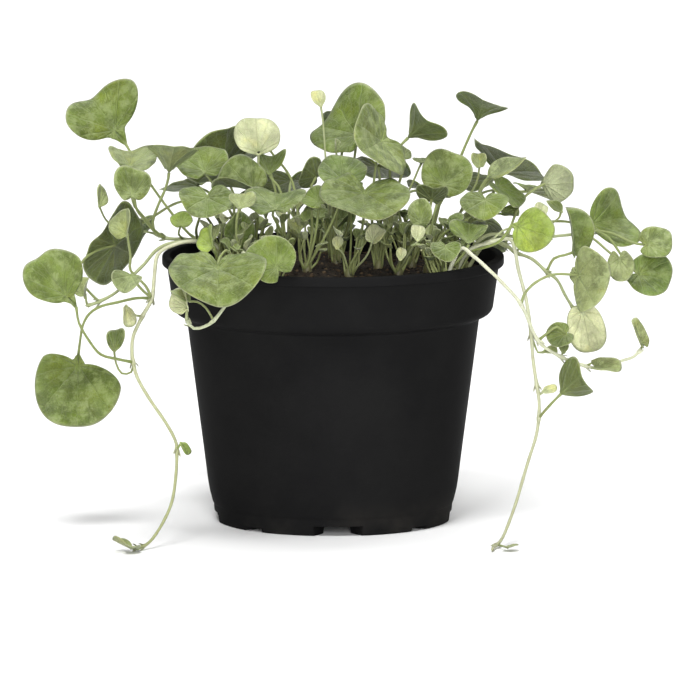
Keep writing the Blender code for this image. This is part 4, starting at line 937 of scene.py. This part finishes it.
def bract(sheet, point, along, turn, tint):
    """A pair of short pointed scales where a leaf leaves the runner."""
    side = along.orthogonal().normalized()
    for half in (0, math.pi):
        out = Matrix.Rotation(turn + half, 3, along) @ side
        wide = along.cross(out)
        base = point + out * 0.5
        corners = [base - wide * 0.55, base + wide * 0.55,
                   base + out * 0.7 + along * 1.1 + wide * 0.3, base + out * 1.0 + along * 2.0,
                   base + out * 0.7 + along * 1.1 - wide * 0.3]
        for lift, order in ((0.09, 1), (-0.09, -1)):
            ring = [sheet.add(corner + out * lift, tint, (turn, number, half), (0, 0, 0), (0, 0.5, 0))
                    for number, corner in enumerate(corners)]
            sheet.face(tuple(ring[::order]), 1)


def fine_crown(sheet, item, seed):
    """The short thick base that the stems rise from."""
    x, y = item.base
    top = soil_height(x, y)
    heights = (-6.0, -2.0, -0.6, 0.5, 1.4, 2.2, 2.9)
    sizes = (1.3, 1.45, 1.6, 1.5, 1.25, 0.9, 0.35)
    points = [Vector((x + 0.12 * math.sin(seed + n), y + 0.12 * math.cos(seed * 2 + n), top + height))
              for n, height in enumerate(heights)]
    tints = [blended((0.075, 0.062, 0.030), (0.14, 0.145, 0.055), swell((height + 1) / 3))
             for height in heights]
    fine_tube(sheet, points, sizes, tints, 10, 1, seed)


def undergrowth(sheet, item, number):
    """Thin young stems round a crown, each with its first folded leaf, under the canopy."""
    draw = random.Random(40 + number)
    x, y = item.base
    top = soil_height(x, y)
    for place in range(UNDERGROWTH):
        turn = draw.uniform(0, math.tau)
        lean = draw.uniform(1.5, 6.5)
        height = draw.uniform(6.0, 15.0)
        tip = Vector((x + lean * math.cos(turn), y + lean * math.sin(turn), top + height))
        if math.hypot(tip.x, tip.y) > SOIL_RADIUS - 5:
            tip.x *= 0.86
            tip.y *= 0.86
        start = Vector((x + 1.2 * math.cos(turn), y + 1.2 * math.sin(turn), top + 0.4))
        bend = Vector((-math.sin(turn), math.cos(turn), 0)) * draw.uniform(-2.2, 2.2)
        points = curve_through([start, (start * 2 + tip) / 3 + bend, (start + tip * 2) / 3 + bend * 0.6, tip], 1.6)
        shade = draw.uniform(0.0, 1.0)
        # Painted shade: these stems under the canopy lean towards the petioles' shaded base colour
        tints = [blended(PETIOLE_SHADED_BASE, PETIOLE_HIGH, 0.35 + 0.5 * shade) for _ in points]
        fine_tube(sheet, points, [0.36 - 0.1 * step / len(points) for step in range(len(points))],
                  tints, 6, 1, number + place)
        tone = draw.choice(("pale", "green", "cream", "mottled", "green"))
        axes = laid(math.degrees(math.pi / 2 - turn) + draw.uniform(-40, 40), draw.uniform(-60, 10))
        blade = Leaf(item.name, None, [], placed(*tip), draw.uniform(2.4, 4.6), axes, "young", tone,
                     draw.uniform(0, math.tau), dict(aspect=draw.uniform(0.7, 1.1), offset=0.7))
        fine_blade(sheet, blade, number * 5.3 + place)


def leafy_stem(item, number, materials):
    sheet = Sheet()
    fine_crown(sheet, item, number * 1.37)
    undergrowth(sheet, item, number)
    if item.route:
        fine_runner(sheet, item, number * 2.11)
    for place, blade in enumerate(item.leaves):
        seed = number * 3.7 + place * 1.13 + 0.4
        fine_petiole(sheet, item, blade, seed)
        fine_blade(sheet, blade, seed)
    made = sheet.made("leafy_" + item.name, materials)
    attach(made, "root")
    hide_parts(item.name)
    return made


class Nodes:
    """Short calls for a material's node tree."""

    def __init__(self, name):
        self.material = bpy.data.materials.new(name)
        self.material.use_nodes = True
        self.tree = self.material.node_tree
        self.shader = self.tree.nodes["Principled BSDF"]

    def node(self, kind, **values):
        made = self.tree.nodes.new(kind)
        for label, value in values.items():
            setattr(made, label, value)
        return made

    def link(self, value, socket):
        if isinstance(value, bpy.types.NodeSocket):
            self.tree.links.new(value, socket)
        elif value is not None:
            socket.default_value = value

    def sum(self, operation, *values):
        made = self.node("ShaderNodeMath", operation=operation)
        for value, socket in zip(values, made.inputs):
            self.link(value, socket)
        return made.outputs[0]

    def attribute(self, name, output="Color"):
        return self.node("ShaderNodeAttribute", attribute_name=name).outputs[output]

    def parts(self, vector):
        made = self.node("ShaderNodeSeparateXYZ")
        self.link(vector, made.inputs[0])
        return made.outputs

    def noise(self, vector, scale, detail=3.0, roughness=0.55):
        made = self.node("ShaderNodeTexNoise")
        self.link(vector, made.inputs["Vector"])
        made.inputs["Scale"].default_value = scale
        made.inputs["Detail"].default_value = detail
        made.inputs["Roughness"].default_value = roughness
        return made.outputs[0]

    def cells(self, vector, scale, feature="DISTANCE_TO_EDGE"):
        made = self.node("ShaderNodeTexVoronoi", feature=feature)
        self.link(vector, made.inputs["Vector"])
        made.inputs["Scale"].default_value = scale
        return made.outputs[0]

    def ramp(self, value, low, high, out_low=0.0, out_high=1.0):
        made = self.node("ShaderNodeMapRange", interpolation_type="SMOOTHSTEP")
        for number, item in enumerate((value, low, high, out_low, out_high)):
            self.link(item, made.inputs[number])
        return made.outputs[0]

    def mix(self, share, first, second, blend="MIX"):
        made = self.node("ShaderNodeMix", data_type="RGBA", blend_type=blend)
        self.link(share, made.inputs[0])
        self.link(first, made.inputs[6])
        self.link(second, made.inputs[7])
        return made.outputs[2]

    def scaled(self, colour, amount):
        """A colour times a number that varies over the surface."""
        made = self.node("ShaderNodeVectorMath", operation="SCALE")
        self.link(colour, made.inputs[0])
        self.link(amount, made.inputs["Scale"])
        return made.outputs[0]

    def bump(self, height, distance, strength=1.0):
        made = self.node("ShaderNodeBump")
        made.inputs["Distance"].default_value = distance
        made.inputs["Strength"].default_value = strength
        self.link(height, made.inputs["Height"])
        self.tree.links.new(made.outputs[0], self.shader.inputs["Normal"])

    def set(self, **values):
        for label, value in values.items():
            self.link(value, self.shader.inputs[label.replace("_", " ")])


def leaf_material():
    m = Nodes("dichondra_leaf")
    tint = m.attribute("tint")
    flat = m.attribute("flat", "Vector")
    vein_at, reach, share = m.parts(m.attribute("polar", "Vector"))
    silver, upper, rim = m.parts(m.attribute("leafy", "Vector"))
    # Main veins run out from the junction and fork past the middle
    wobble = m.sum("MULTIPLY", m.sum("SUBTRACT", m.noise(flat, 0.35, 2.0), 0.5), 0.25)
    bent_at = m.sum("ADD", vein_at, wobble)
    spacing = m.sum("MULTIPLY", reach, VEIN_SPACING)
    main = m.sum("MULTIPLY", m.sum("PINGPONG", bent_at, 0.5), spacing)
    main_vein = m.ramp(main, 0.06, 0.34, 1.0, 0.0)
    doubled = m.sum("MULTIPLY", bent_at, 2.0)
    fork = m.sum("MULTIPLY", m.sum("PINGPONG", doubled, 0.5), m.sum("MULTIPLY", spacing, 0.5))
    fork_vein = m.sum("MULTIPLY", m.ramp(fork, 0.04, 0.24, 1.0, 0.0), m.ramp(share, 0.35, 0.6))
    net_vein = m.ramp(m.cells(flat, 0.62), 0.0, 0.09, 1.0, 0.0)
    veins = m.sum("MAXIMUM", main_vein, m.sum("MULTIPLY", fork_vein, 0.8))
    veins = m.sum("MAXIMUM", veins, m.sum("MULTIPLY", net_vein, 0.45))
    # Silver mottling where the hairs lie thick, green where they are thin
    patches = m.ramp(m.noise(flat, 0.30, 6.0, 0.72), 0.46, 0.62)
    speckle = m.noise(flat, 3.2, 3.0, 0.7)
    silvered = m.sum("MULTIPLY", patches, silver)
    deep = m.ramp(m.noise(flat, 0.16, 3.0, 0.6), 0.35, 0.65, 0.72, 1.2)
    green = m.scaled(m.scaled(tint, m.ramp(speckle, 0.2, 0.8, 0.74, 1.2)), deep)
    # Painted sunlight: broad patches made lighter and yellower, as if sun falls on them
    painted_sun_patches = m.ramp(m.noise(flat, 0.11, 2.0), 0.5, 0.66, 0.0, 0.45)
    green = m.mix(painted_sun_patches, green, m.mix(1.0, green, (1.35, 1.22, 0.6, 1), "MULTIPLY"))
    frosted = m.mix(0.40, tint, (0.40, 0.46, 0.22, 1))
    colour = m.mix(silvered, green, frosted)
    vein_colour = m.mix(0.5, tint, (0.40, 0.46, 0.20, 1))
    vein_share = m.sum("MULTIPLY", veins, m.ramp(upper, 0.0, 1.0, 0.24, 0.26))
    colour = m.mix(vein_share, colour, vein_colour)
    thin_rim = m.ramp(rim, 0.62, 0.8, 0.0, 0.45)
    colour = m.mix(thin_rim, colour, (0.42, 0.46, 0.26, 1))
    # Painted shade: the outermost margin is darkened to a dark brown-olive contour, standing in for the shade at
    # the leaf's edge
    colour = m.mix(m.ramp(rim, 0.9, 1.0, 0.0, 0.6), colour, (0.10, 0.085, 0.030, 1))
    under_grain = m.scaled(colour, m.ramp(m.noise(flat, 1.4, 4.0), 0.25, 0.75, 0.88, 1.1))
    colour = m.mix(upper, under_grain, colour)
    m.link(colour, m.shader.inputs["Base Color"])
    m.link(m.ramp(m.noise(flat, 1.1, 3.0), 0.3, 0.7, 0.46, 0.62), m.shader.inputs["Roughness"])
    m.set(Specular_IOR_Level=0.35, Sheen_Weight=0.16, Sheen_Roughness=0.45,
          Sheen_Tint=(0.86, 0.95, 0.80, 1), Subsurface_Weight=0.12, Subsurface_Scale=0.0012,
          Subsurface_Radius=(0.7, 1.0, 0.35))
    hairs = m.sum("MULTIPLY", speckle, 0.35)
    sunk = m.sum("MULTIPLY", veins, m.ramp(upper, 0.0, 1.0, 0.9, -0.8))
    rough = m.sum("MULTIPLY", m.noise(flat, 0.9, 4.0), 0.8)
    m.bump(m.sum("ADD", m.sum("ADD", hairs, sunk), rough), 0.00022)
    return m.material


def stem_material():
    m = Nodes("dichondra_stem")
    tint = m.attribute("tint")
    flat = m.attribute("flat", "Vector")
    long_grain = m.node("ShaderNodeVectorMath", operation="MULTIPLY")
    m.link(flat, long_grain.inputs[0])
    long_grain.inputs[1].default_value = (2.2, 0.35, 2.2)
    grain = m.noise(long_grain.outputs[0], 1.6, 4.0, 0.65)
    blotch = m.noise(flat, 0.28, 3.0)
    colour = m.scaled(tint, m.ramp(grain, 0.2, 0.8, 0.74, 1.22))
    brown = m.mix(0.5, tint, (0.20, 0.13, 0.05, 1))
    colour = m.mix(m.ramp(blotch, 0.56, 0.74, 0.0, 0.55), colour, brown)
    m.link(colour, m.shader.inputs["Base Color"])
    m.link(m.ramp(grain, 0.3, 0.7, 0.42, 0.58), m.shader.inputs["Roughness"])
    m.set(Specular_IOR_Level=0.4, Sheen_Weight=0.12, Sheen_Roughness=0.4,
          Sheen_Tint=(0.95, 0.97, 0.9, 1), Subsurface_Weight=0.15, Subsurface_Scale=0.001,
          Subsurface_Radius=(0.9, 1.0, 0.45))
    m.bump(m.sum("ADD", grain, m.sum("MULTIPLY", m.noise(flat, 4.0, 2.0), 0.5)), 0.00012)
    return m.material


def place_nodes(m):
    return m.node("ShaderNodeTexCoord").outputs["Object"]


def pot_material():
    m = Nodes("black_pot_plastic")
    place = place_nodes(m)
    cloud = m.noise(place, 38.0, 4.0, 0.6)
    grain = m.noise(place, 2600.0, 2.0, 0.6)
    scuff_at = m.node("ShaderNodeVectorMath", operation="MULTIPLY")
    m.link(place, scuff_at.inputs[0])
    scuff_at.inputs[1].default_value = (120.0, 120.0, 900.0)
    scuffs = m.ramp(m.noise(scuff_at.outputs[0], 1.0, 5.0, 0.7), 0.62, 0.78)
    height = m.parts(place)[2]
    dust = m.sum("MULTIPLY", m.ramp(height, 0.001, 0.012, 1.0, 0.0), m.ramp(cloud, 0.4, 0.7))
    shade = m.mix(m.ramp(cloud, 0.3, 0.7), (0.0084, 0.0084, 0.0086, 1), (0.0108, 0.0108, 0.0108, 1))
    shade = m.mix(m.sum("MULTIPLY", scuffs, 0.35), shade, (0.018, 0.018, 0.018, 1))
    shade = m.mix(m.sum("MULTIPLY", dust, 0.3), shade, (0.045, 0.040, 0.034, 1))
    m.link(shade, m.shader.inputs["Base Color"])
    rough = m.sum("ADD", m.ramp(cloud, 0.3, 0.7, 0.46, 0.54), m.sum("MULTIPLY", scuffs, 0.12))
    m.link(rough, m.shader.inputs["Roughness"])
    m.set(Specular_IOR_Level=0.06, IOR=1.12)
    m.bump(m.sum("ADD", grain, m.sum("MULTIPLY", scuffs, 0.4)), 0.00003)
    return m.material


def soil_material():
    m = Nodes("potting_soil")
    place = place_nodes(m)
    clods = m.noise(place, 420.0, 6.0, 0.7)
    fleck = m.noise(place, 1500.0, 3.0, 0.6)
    colour = m.mix(m.ramp(clods, 0.35, 0.68), (0.006, 0.0045, 0.0035, 1), (0.034, 0.024, 0.015, 1))
    colour = m.mix(m.ramp(fleck, 0.62, 0.75, 0.0, 0.6), colour, (0.085, 0.055, 0.030, 1))
    m.link(colour, m.shader.inputs["Base Color"])
    m.link(m.ramp(fleck, 0.3, 0.7, 0.82, 0.98), m.shader.inputs["Roughness"])
    m.set(Specular_IOR_Level=0.2)
    m.bump(m.sum("ADD", clods, m.sum("MULTIPLY", fleck, 0.4)), 0.0012)
    return m.material


def crumb_material():
    m = Nodes("soil_crumbs")
    tint = m.attribute("tint")
    place = place_nodes(m)
    grain = m.noise(place, 2400.0, 4.0, 0.7)
    m.link(m.scaled(tint, m.ramp(grain, 0.25, 0.75, 0.6, 1.35)), m.shader.inputs["Base Color"])
    m.link(m.ramp(grain, 0.3, 0.7, 0.8, 0.95), m.shader.inputs["Roughness"])
    m.set(Specular_IOR_Level=0.2)
    m.bump(grain, 0.0004)
    return m.material


def floor_material():
    m = Nodes("pale_floor")
    place = place_nodes(m)
    cloud = m.noise(place, 2.0, 3.0)
    m.link(m.mix(cloud, (0.90, 0.90, 0.90, 1), (0.93, 0.93, 0.93, 1)), m.shader.inputs["Base Color"])
    m.link(m.ramp(cloud, 0.3, 0.7, 0.85, 0.95), m.shader.inputs["Roughness"])
    m.set(Specular_IOR_Level=0.1)
    return m.material


def arc(points, corner, radius, steps=4):
    """The outline with one corner rounded, for a lathe."""
    before, at, after = (Vector(points[corner + step]) for step in (-1, 0, 1))
    start = at + (before - at).normalized() * min(radius, (before - at).length * 0.45)
    end = at + (after - at).normalized() * min(radius, (after - at).length * 0.45)
    path = []
    for step in range(steps + 1):
        t = step / steps
        path.append(start * (1 - t) ** 2 + at * 2 * t * (1 - t) + end * t ** 2)
    return path


def rounded(points, radii):
    """The closed outline with a radius at each point that has one."""
    around_it = [Vector(point) for point in points]
    closed = around_it + [around_it[0]]
    path = []
    for number, point in enumerate(around_it):
        radius = radii.get(number)
        if radius is None or number == 0:
            path.append(point)
        else:
            path += arc(closed, number, radius)
    return path


def lathed(name, profile, sides, wobble=None):
    """A solid turned about the pot's axis from a closed outline whose ends lie on the axis."""
    points = []
    rings = []
    for radius, height in profile:
        if radius < 1e-6:
            rings.append([len(points)] * sides)
            points.append(Vector((0, 0, height)))
            continue
        rings.append(list(range(len(points), len(points) + sides)))
        for side in range(sides):
            angle = math.tau * side / sides
            points.append(Vector((radius * math.cos(angle), radius * math.sin(angle), height)))
    faces = []
    pairs = list(zip(rings, rings[1:]))
    if profile[0][0] > 1e-6:
        pairs.append((rings[-1], rings[0]))
    for low, high in pairs:
        for side in range(sides):
            after = (side + 1) % sides
            corners = [low[side], low[after], high[after], high[side]]
            corners = [corner for step, corner in enumerate(corners) if corner != corners[step - 1]]
            if len(corners) > 2:
                faces.append(corners)
    if wobble:
        points = [wobble(point) for point in points]
    mesh = bpy.data.meshes.new(name)
    mesh.from_pydata([point * MM + AXIS for point in points], [], faces)
    made = bpy.data.objects.new(name, mesh)
    bpy.context.scene.collection.objects.link(made)
    return made


def around(radius, angle):
    """A plan point at an angle in degrees from the front, turning to the right."""
    return (radius * math.sin(math.radians(angle)), -radius * math.cos(math.radians(angle)))


def prism(name, corners, low, high):
    count = len(corners)
    points = [Vector((x, y, low)) for x, y in corners] + [Vector((x, y, high)) for x, y in corners]
    faces = [tuple(range(count)), tuple(range(count, 2 * count))]
    for step in range(count):
        after = (step + 1) % count
        faces.append((step, after, after + count, step + count))
    mesh = bpy.data.meshes.new(name)
    mesh.from_pydata([point * MM + AXIS for point in points], [], faces)
    turned = bmesh.new()
    turned.from_mesh(mesh)
    bmesh.ops.recalc_face_normals(turned, faces=turned.faces)
    turned.to_mesh(mesh)
    turned.free()
    made = bpy.data.objects.new(name, mesh)
    bpy.context.scene.collection.objects.link(made)
    return made


def fine_pot():
    """The nursery pot with its rounded lip, soft shoulder, foot groove, notches and drain holes."""
    points = [
        (0, FLOOR_LOW_Z), (FOOT_INNER_RADIUS - 1, FLOOR_LOW_Z), (FOOT_INNER_RADIUS, 0), (FOOT_RADIUS, 0),
        (FOOT_RADIUS + 0.6, 3.8), (GROOVE_RADIUS - 0.15, GROOVE_Z - 0.5), (GROOVE_RADIUS + 0.15, GROOVE_Z),
        (GROOVE_RADIUS + 0.35, GROOVE_Z + 0.6), (BODY_LOW_RADIUS, BODY_LOW_Z),
        (BODY_TOP_RADIUS, BODY_TOP_Z), (BODY_TOP_RADIUS + STEP_REACH, BODY_TOP_Z + STEP_RISE),
        (BAND_FOOT_RADIUS, BAND_FOOT_Z), (BAND_TOP_RADIUS, POT_HEIGHT - LIP_HEIGHT),
        (LIP_RADIUS, POT_HEIGHT - LIP_HEIGHT), (LIP_RADIUS, POT_HEIGHT),
        (BAND_TOP_RADIUS - WALL, POT_HEIGHT), (BAND_FOOT_RADIUS - WALL, BAND_FOOT_Z + 0.6),
        (BODY_TOP_RADIUS - WALL, BODY_TOP_Z + 0.8), (BODY_LOW_RADIUS - WALL, BODY_LOW_Z),
        (GROOVE_RADIUS - WALL, FLOOR_TOP_Z), (0, FLOOR_TOP_Z)]
    radii = {2: 0.3, 3: 0.5, 4: 0.25, 6: 0.25, 7: 0.3, 8: 2.5, 9: 0.8, 10: 0.8, 11: 0.9, 12: 0.4, 13: 0.7,
             14: 0.8, 15: 0.6, 16: 2, 17: 2, 18: 2, 19: 2}
    pot = lathed("fine_pot", rounded(points, radii), POT_SIDES)
    group = bpy.data.collections.new("pot_cutters")
    bpy.context.scene.collection.children.link(group)
    cutters = []
    for first, half, height in (WIDE_NOTCH, NARROW_NOTCH):
        for quarter in range(4):
            middle = first + 90 * quarter
            outer = FOOT_RADIUS + 4
            inner = FOOT_INNER_RADIUS - 2
            corners = [around(outer, middle - half * 1.04), around(outer, middle + half * 1.04),
                       around(inner, middle + half * 0.5), around(inner, middle - half * 0.5)]
            cutters.append(prism("notch", corners, -2, height))
    for step in range(DRAIN_COUNT):
        centre = Vector(around(DRAIN_RING, 360 * (step + 0.5) / DRAIN_COUNT))
        ring = [centre + Vector(around(DRAIN_RADIUS, 15 * side)) for side in range(24)]
        cutters.append(prism("drain", ring, FLOOR_LOW_Z - 1, FLOOR_TOP_Z + 1))
    for cutter in cutters:
        bpy.context.scene.collection.objects.unlink(cutter)
        group.objects.link(cutter)
    cut = pot.modifiers.new("cut", "BOOLEAN")
    cut.operation = "DIFFERENCE"
    cut.solver = "EXACT"
    cut.operand_type = "COLLECTION"
    cut.collection = group
    ready = pot.evaluated_get(bpy.context.evaluated_depsgraph_get())
    mesh = bpy.data.meshes.new_from_object(ready)
    pot.modifiers.clear()
    pot.data = mesh
    for cutter in cutters:
        bpy.data.objects.remove(cutter)
    bpy.data.collections.remove(group)
    mesh.materials.clear()
    mesh.materials.append(pot_material())
    mesh.shade_smooth()
    mesh.set_sharp_from_angle(angle=math.radians(32))
    return pot


def soil_surface(point):
    """The dome of the soil with clods and dips, level with the solid soil on the whole."""
    share = swell((SOIL_RADIUS - math.hypot(point.x, point.y)) / 4)
    if point.z < SOIL_EDGE_Z - 1:
        return point
    lump = noise.fractal(Vector((point.x * 0.22, point.y * 0.22, 3.7)), 1.0, 2.0, 4)
    fine = noise.fractal(Vector((point.x * 0.9, point.y * 0.9, 9.1)), 1.0, 2.0, 3)
    return point + Vector((0, 0, share * (0.75 * lump + 0.3 * fine) - 0.25))


def fine_soil():
    """Soil with a rough top, in the space that the solid soil fills."""
    top = [(SOIL_RADIUS * step / 60, 0) for step in range(61)]
    top = [(radius, SOIL_EDGE_Z + SOIL_RISE * (1 - (radius / SOIL_RADIUS) ** 2)) for radius, _ in top]
    wall = [(SOIL_RADIUS - 0.6, SOIL_EDGE_Z - 3), (BAND_FOOT_RADIUS - WALL - 0.6, BAND_FOOT_Z + 0.6),
            (BODY_TOP_RADIUS - WALL - 0.6, BODY_TOP_Z + 0.8), (BODY_LOW_RADIUS - WALL - 0.6, BODY_LOW_Z)]
    floor = [(GROOVE_RADIUS - WALL - 1.2, FLOOR_TOP_Z + 0.5), (0, FLOOR_TOP_Z + 0.5)]
    soil = lathed("fine_soil", list(reversed(top + wall + floor)), 180, soil_surface)
    soil.data.materials.append(soil_material())
    soil.data.shade_smooth()
    return soil


CRUMB_COLOURS = ((0.020, 0.014, 0.010), (0.035, 0.024, 0.014), (0.055, 0.036, 0.020), (0.012, 0.010, 0.009),
                 (0.090, 0.062, 0.036))


def soil_crumbs():
    """Loose clods and short bits of bark fibre that lie on the soil."""
    sheet = Sheet()
    golden = math.pi * (3 - math.sqrt(5))
    corners = [Vector((0, 0, 1)), Vector((0, 0, -1))]
    corners += [Vector((math.cos(math.tau * n / 5), math.sin(math.tau * n / 5), 0.5 if n % 2 else -0.3))
                for n in range(5)]
    for number in range(900):
        reach = math.sqrt((number + 0.5) / 900) * (SOIL_RADIUS - 1.2)
        angle = number * golden
        x = reach * math.cos(angle)
        y = reach * math.sin(angle)
        chance = noise.cell_vector(Vector((number, 7, 3)))
        size = 0.35 + 0.75 * abs(chance.x) ** 2
        base = soil_surface(Vector((x, y, soil_height(x, y))))
        spin = Matrix.Rotation(number * 2.3, 3, "Z") @ Matrix.Rotation(number * 1.1, 3, "X")
        tint = CRUMB_COLOURS[number % 5]
        fibre = number % 9 == 0
        stretch = Vector((2.6, 0.28, 0.28)) if fibre else Vector((1.0, 0.8, 0.62))
        if fibre:
            tint = blended(tint, (0.16, 0.105, 0.055), 0.6)
            spin = Matrix.Rotation(number * 2.3, 3, "Z") @ Matrix.Rotation(0.2 * math.sin(number), 3, "Y")
        ring = []
        for step, corner in enumerate(corners):
            jitter = 1 + 0.35 * noise.noise(Vector((number * 1.7, step * 2.9, 0.5)))
            place = Vector([a * b for a, b in zip(corner, stretch)]) * size * jitter
            ring.append(sheet.add(base + spin @ place + Vector((0, 0, size * 0.25)), tint, (x, y, 0)))
        for step in range(5):
            after = 2 + (step + 1) % 5
            sheet.face((ring[0], ring[2 + step], ring[after]), 0)
            sheet.face((ring[1], ring[after], ring[2 + step]), 0)
    return sheet.made("soil_crumbs", [crumb_material()])


def area_light(name, azimuth, elevation, distance, size, power, colour=(1, 1, 1)):
    """A soft box that looks at the plant; azimuth is measured from the front, to the right."""
    flat = math.cos(math.radians(elevation)) * distance
    place = Vector((math.sin(math.radians(azimuth)) * flat, -math.cos(math.radians(azimuth)) * flat,
                    math.sin(math.radians(elevation)) * distance))
    data = bpy.data.lights.new(name, "AREA")
    data.shape = "RECTANGLE"
    data.size = size[0]
    data.size_y = size[1]
    data.energy = power
    data.color = colour
    made = bpy.data.objects.new(name, data)
    made.location = place + Vector((0, 0, 0.06))
    made.rotation_euler = (-place).to_track_quat("-Z", "Y").to_euler()
    made.visible_camera = False
    bpy.context.scene.collection.objects.link(made)
    return made


def studio():
    scene = bpy.context.scene
    reach = FLOOR_REACH
    mesh = bpy.data.meshes.new("studio_floor")
    corners = [Vector((x, y, -0.00005)) for x, y in ((-reach, -reach), (reach, -reach), (reach, reach), (-reach, reach))]
    mesh.from_pydata(corners, [], [(0, 1, 2, 3)])
    floor = bpy.data.objects.new("studio_floor", mesh)
    scene.collection.objects.link(floor)
    floor.data.materials.append(floor_material())
    world = bpy.data.worlds.new("soft_white")
    world.use_nodes = True
    world.node_tree.nodes["Background"].inputs["Color"].default_value = (1.0, 1.0, 1.0, 1)
    world.node_tree.nodes["Background"].inputs["Strength"].default_value = 0.16
    scene.world = world
    area_light("key_softbox", -16, 58, 3.4, (1.2, 1.2), 86)
    area_light("front_softbox", 3, 13, 3.6, (0.8, 1.2), 96)
    area_light("top_softbox", 160, 68, 3.2, (2.4, 2.4), 90)
    scene.view_settings.view_transform = "Standard"
    scene.view_settings.look = "None"
    camera_data = bpy.data.cameras.new("photo_view")
    camera_data.sensor_width = 36
    camera_data.lens = CAMERA_LENS
    camera_data.clip_end = 50
    camera = bpy.data.objects.new("photo_view", camera_data)
    target = AXIS + Vector(CAMERA_TARGET) * MM
    away = Vector((0, -VIEW_COS, VIEW_SIN))
    camera.location = target + away * CAMERA_DISTANCE
    camera.rotation_euler = (-away).to_track_quat("-Z", "Y").to_euler()
    scene.collection.objects.link(camera)
    scene.camera = camera


# Camera, level with the photograph's: metres away, the point that it looks at in millimetres, lens
CAMERA_DISTANCE = 5.0
CAMERA_TARGET = (4.6, 0, 52.9)
CAMERA_LENS = 842.0
FLOOR_REACH = 8.0


def main():
    for (name, place), (shift, bow) in MOVED.items():
        STEMS[name].leaves[place].shift = shift
        STEMS[name].leaves[place].bow = bow
    pot = fine_pot()
    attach(pot, "root")
    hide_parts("pot")
    soil = fine_soil()
    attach(soil, "root")
    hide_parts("soil")
    crumbs = soil_crumbs()
    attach(crumbs, "root")
    materials = [leaf_material(), stem_material()]
    for number, item in enumerate(STEMS.values()):
        leafy_stem(item, number, materials)
    studio()


main()
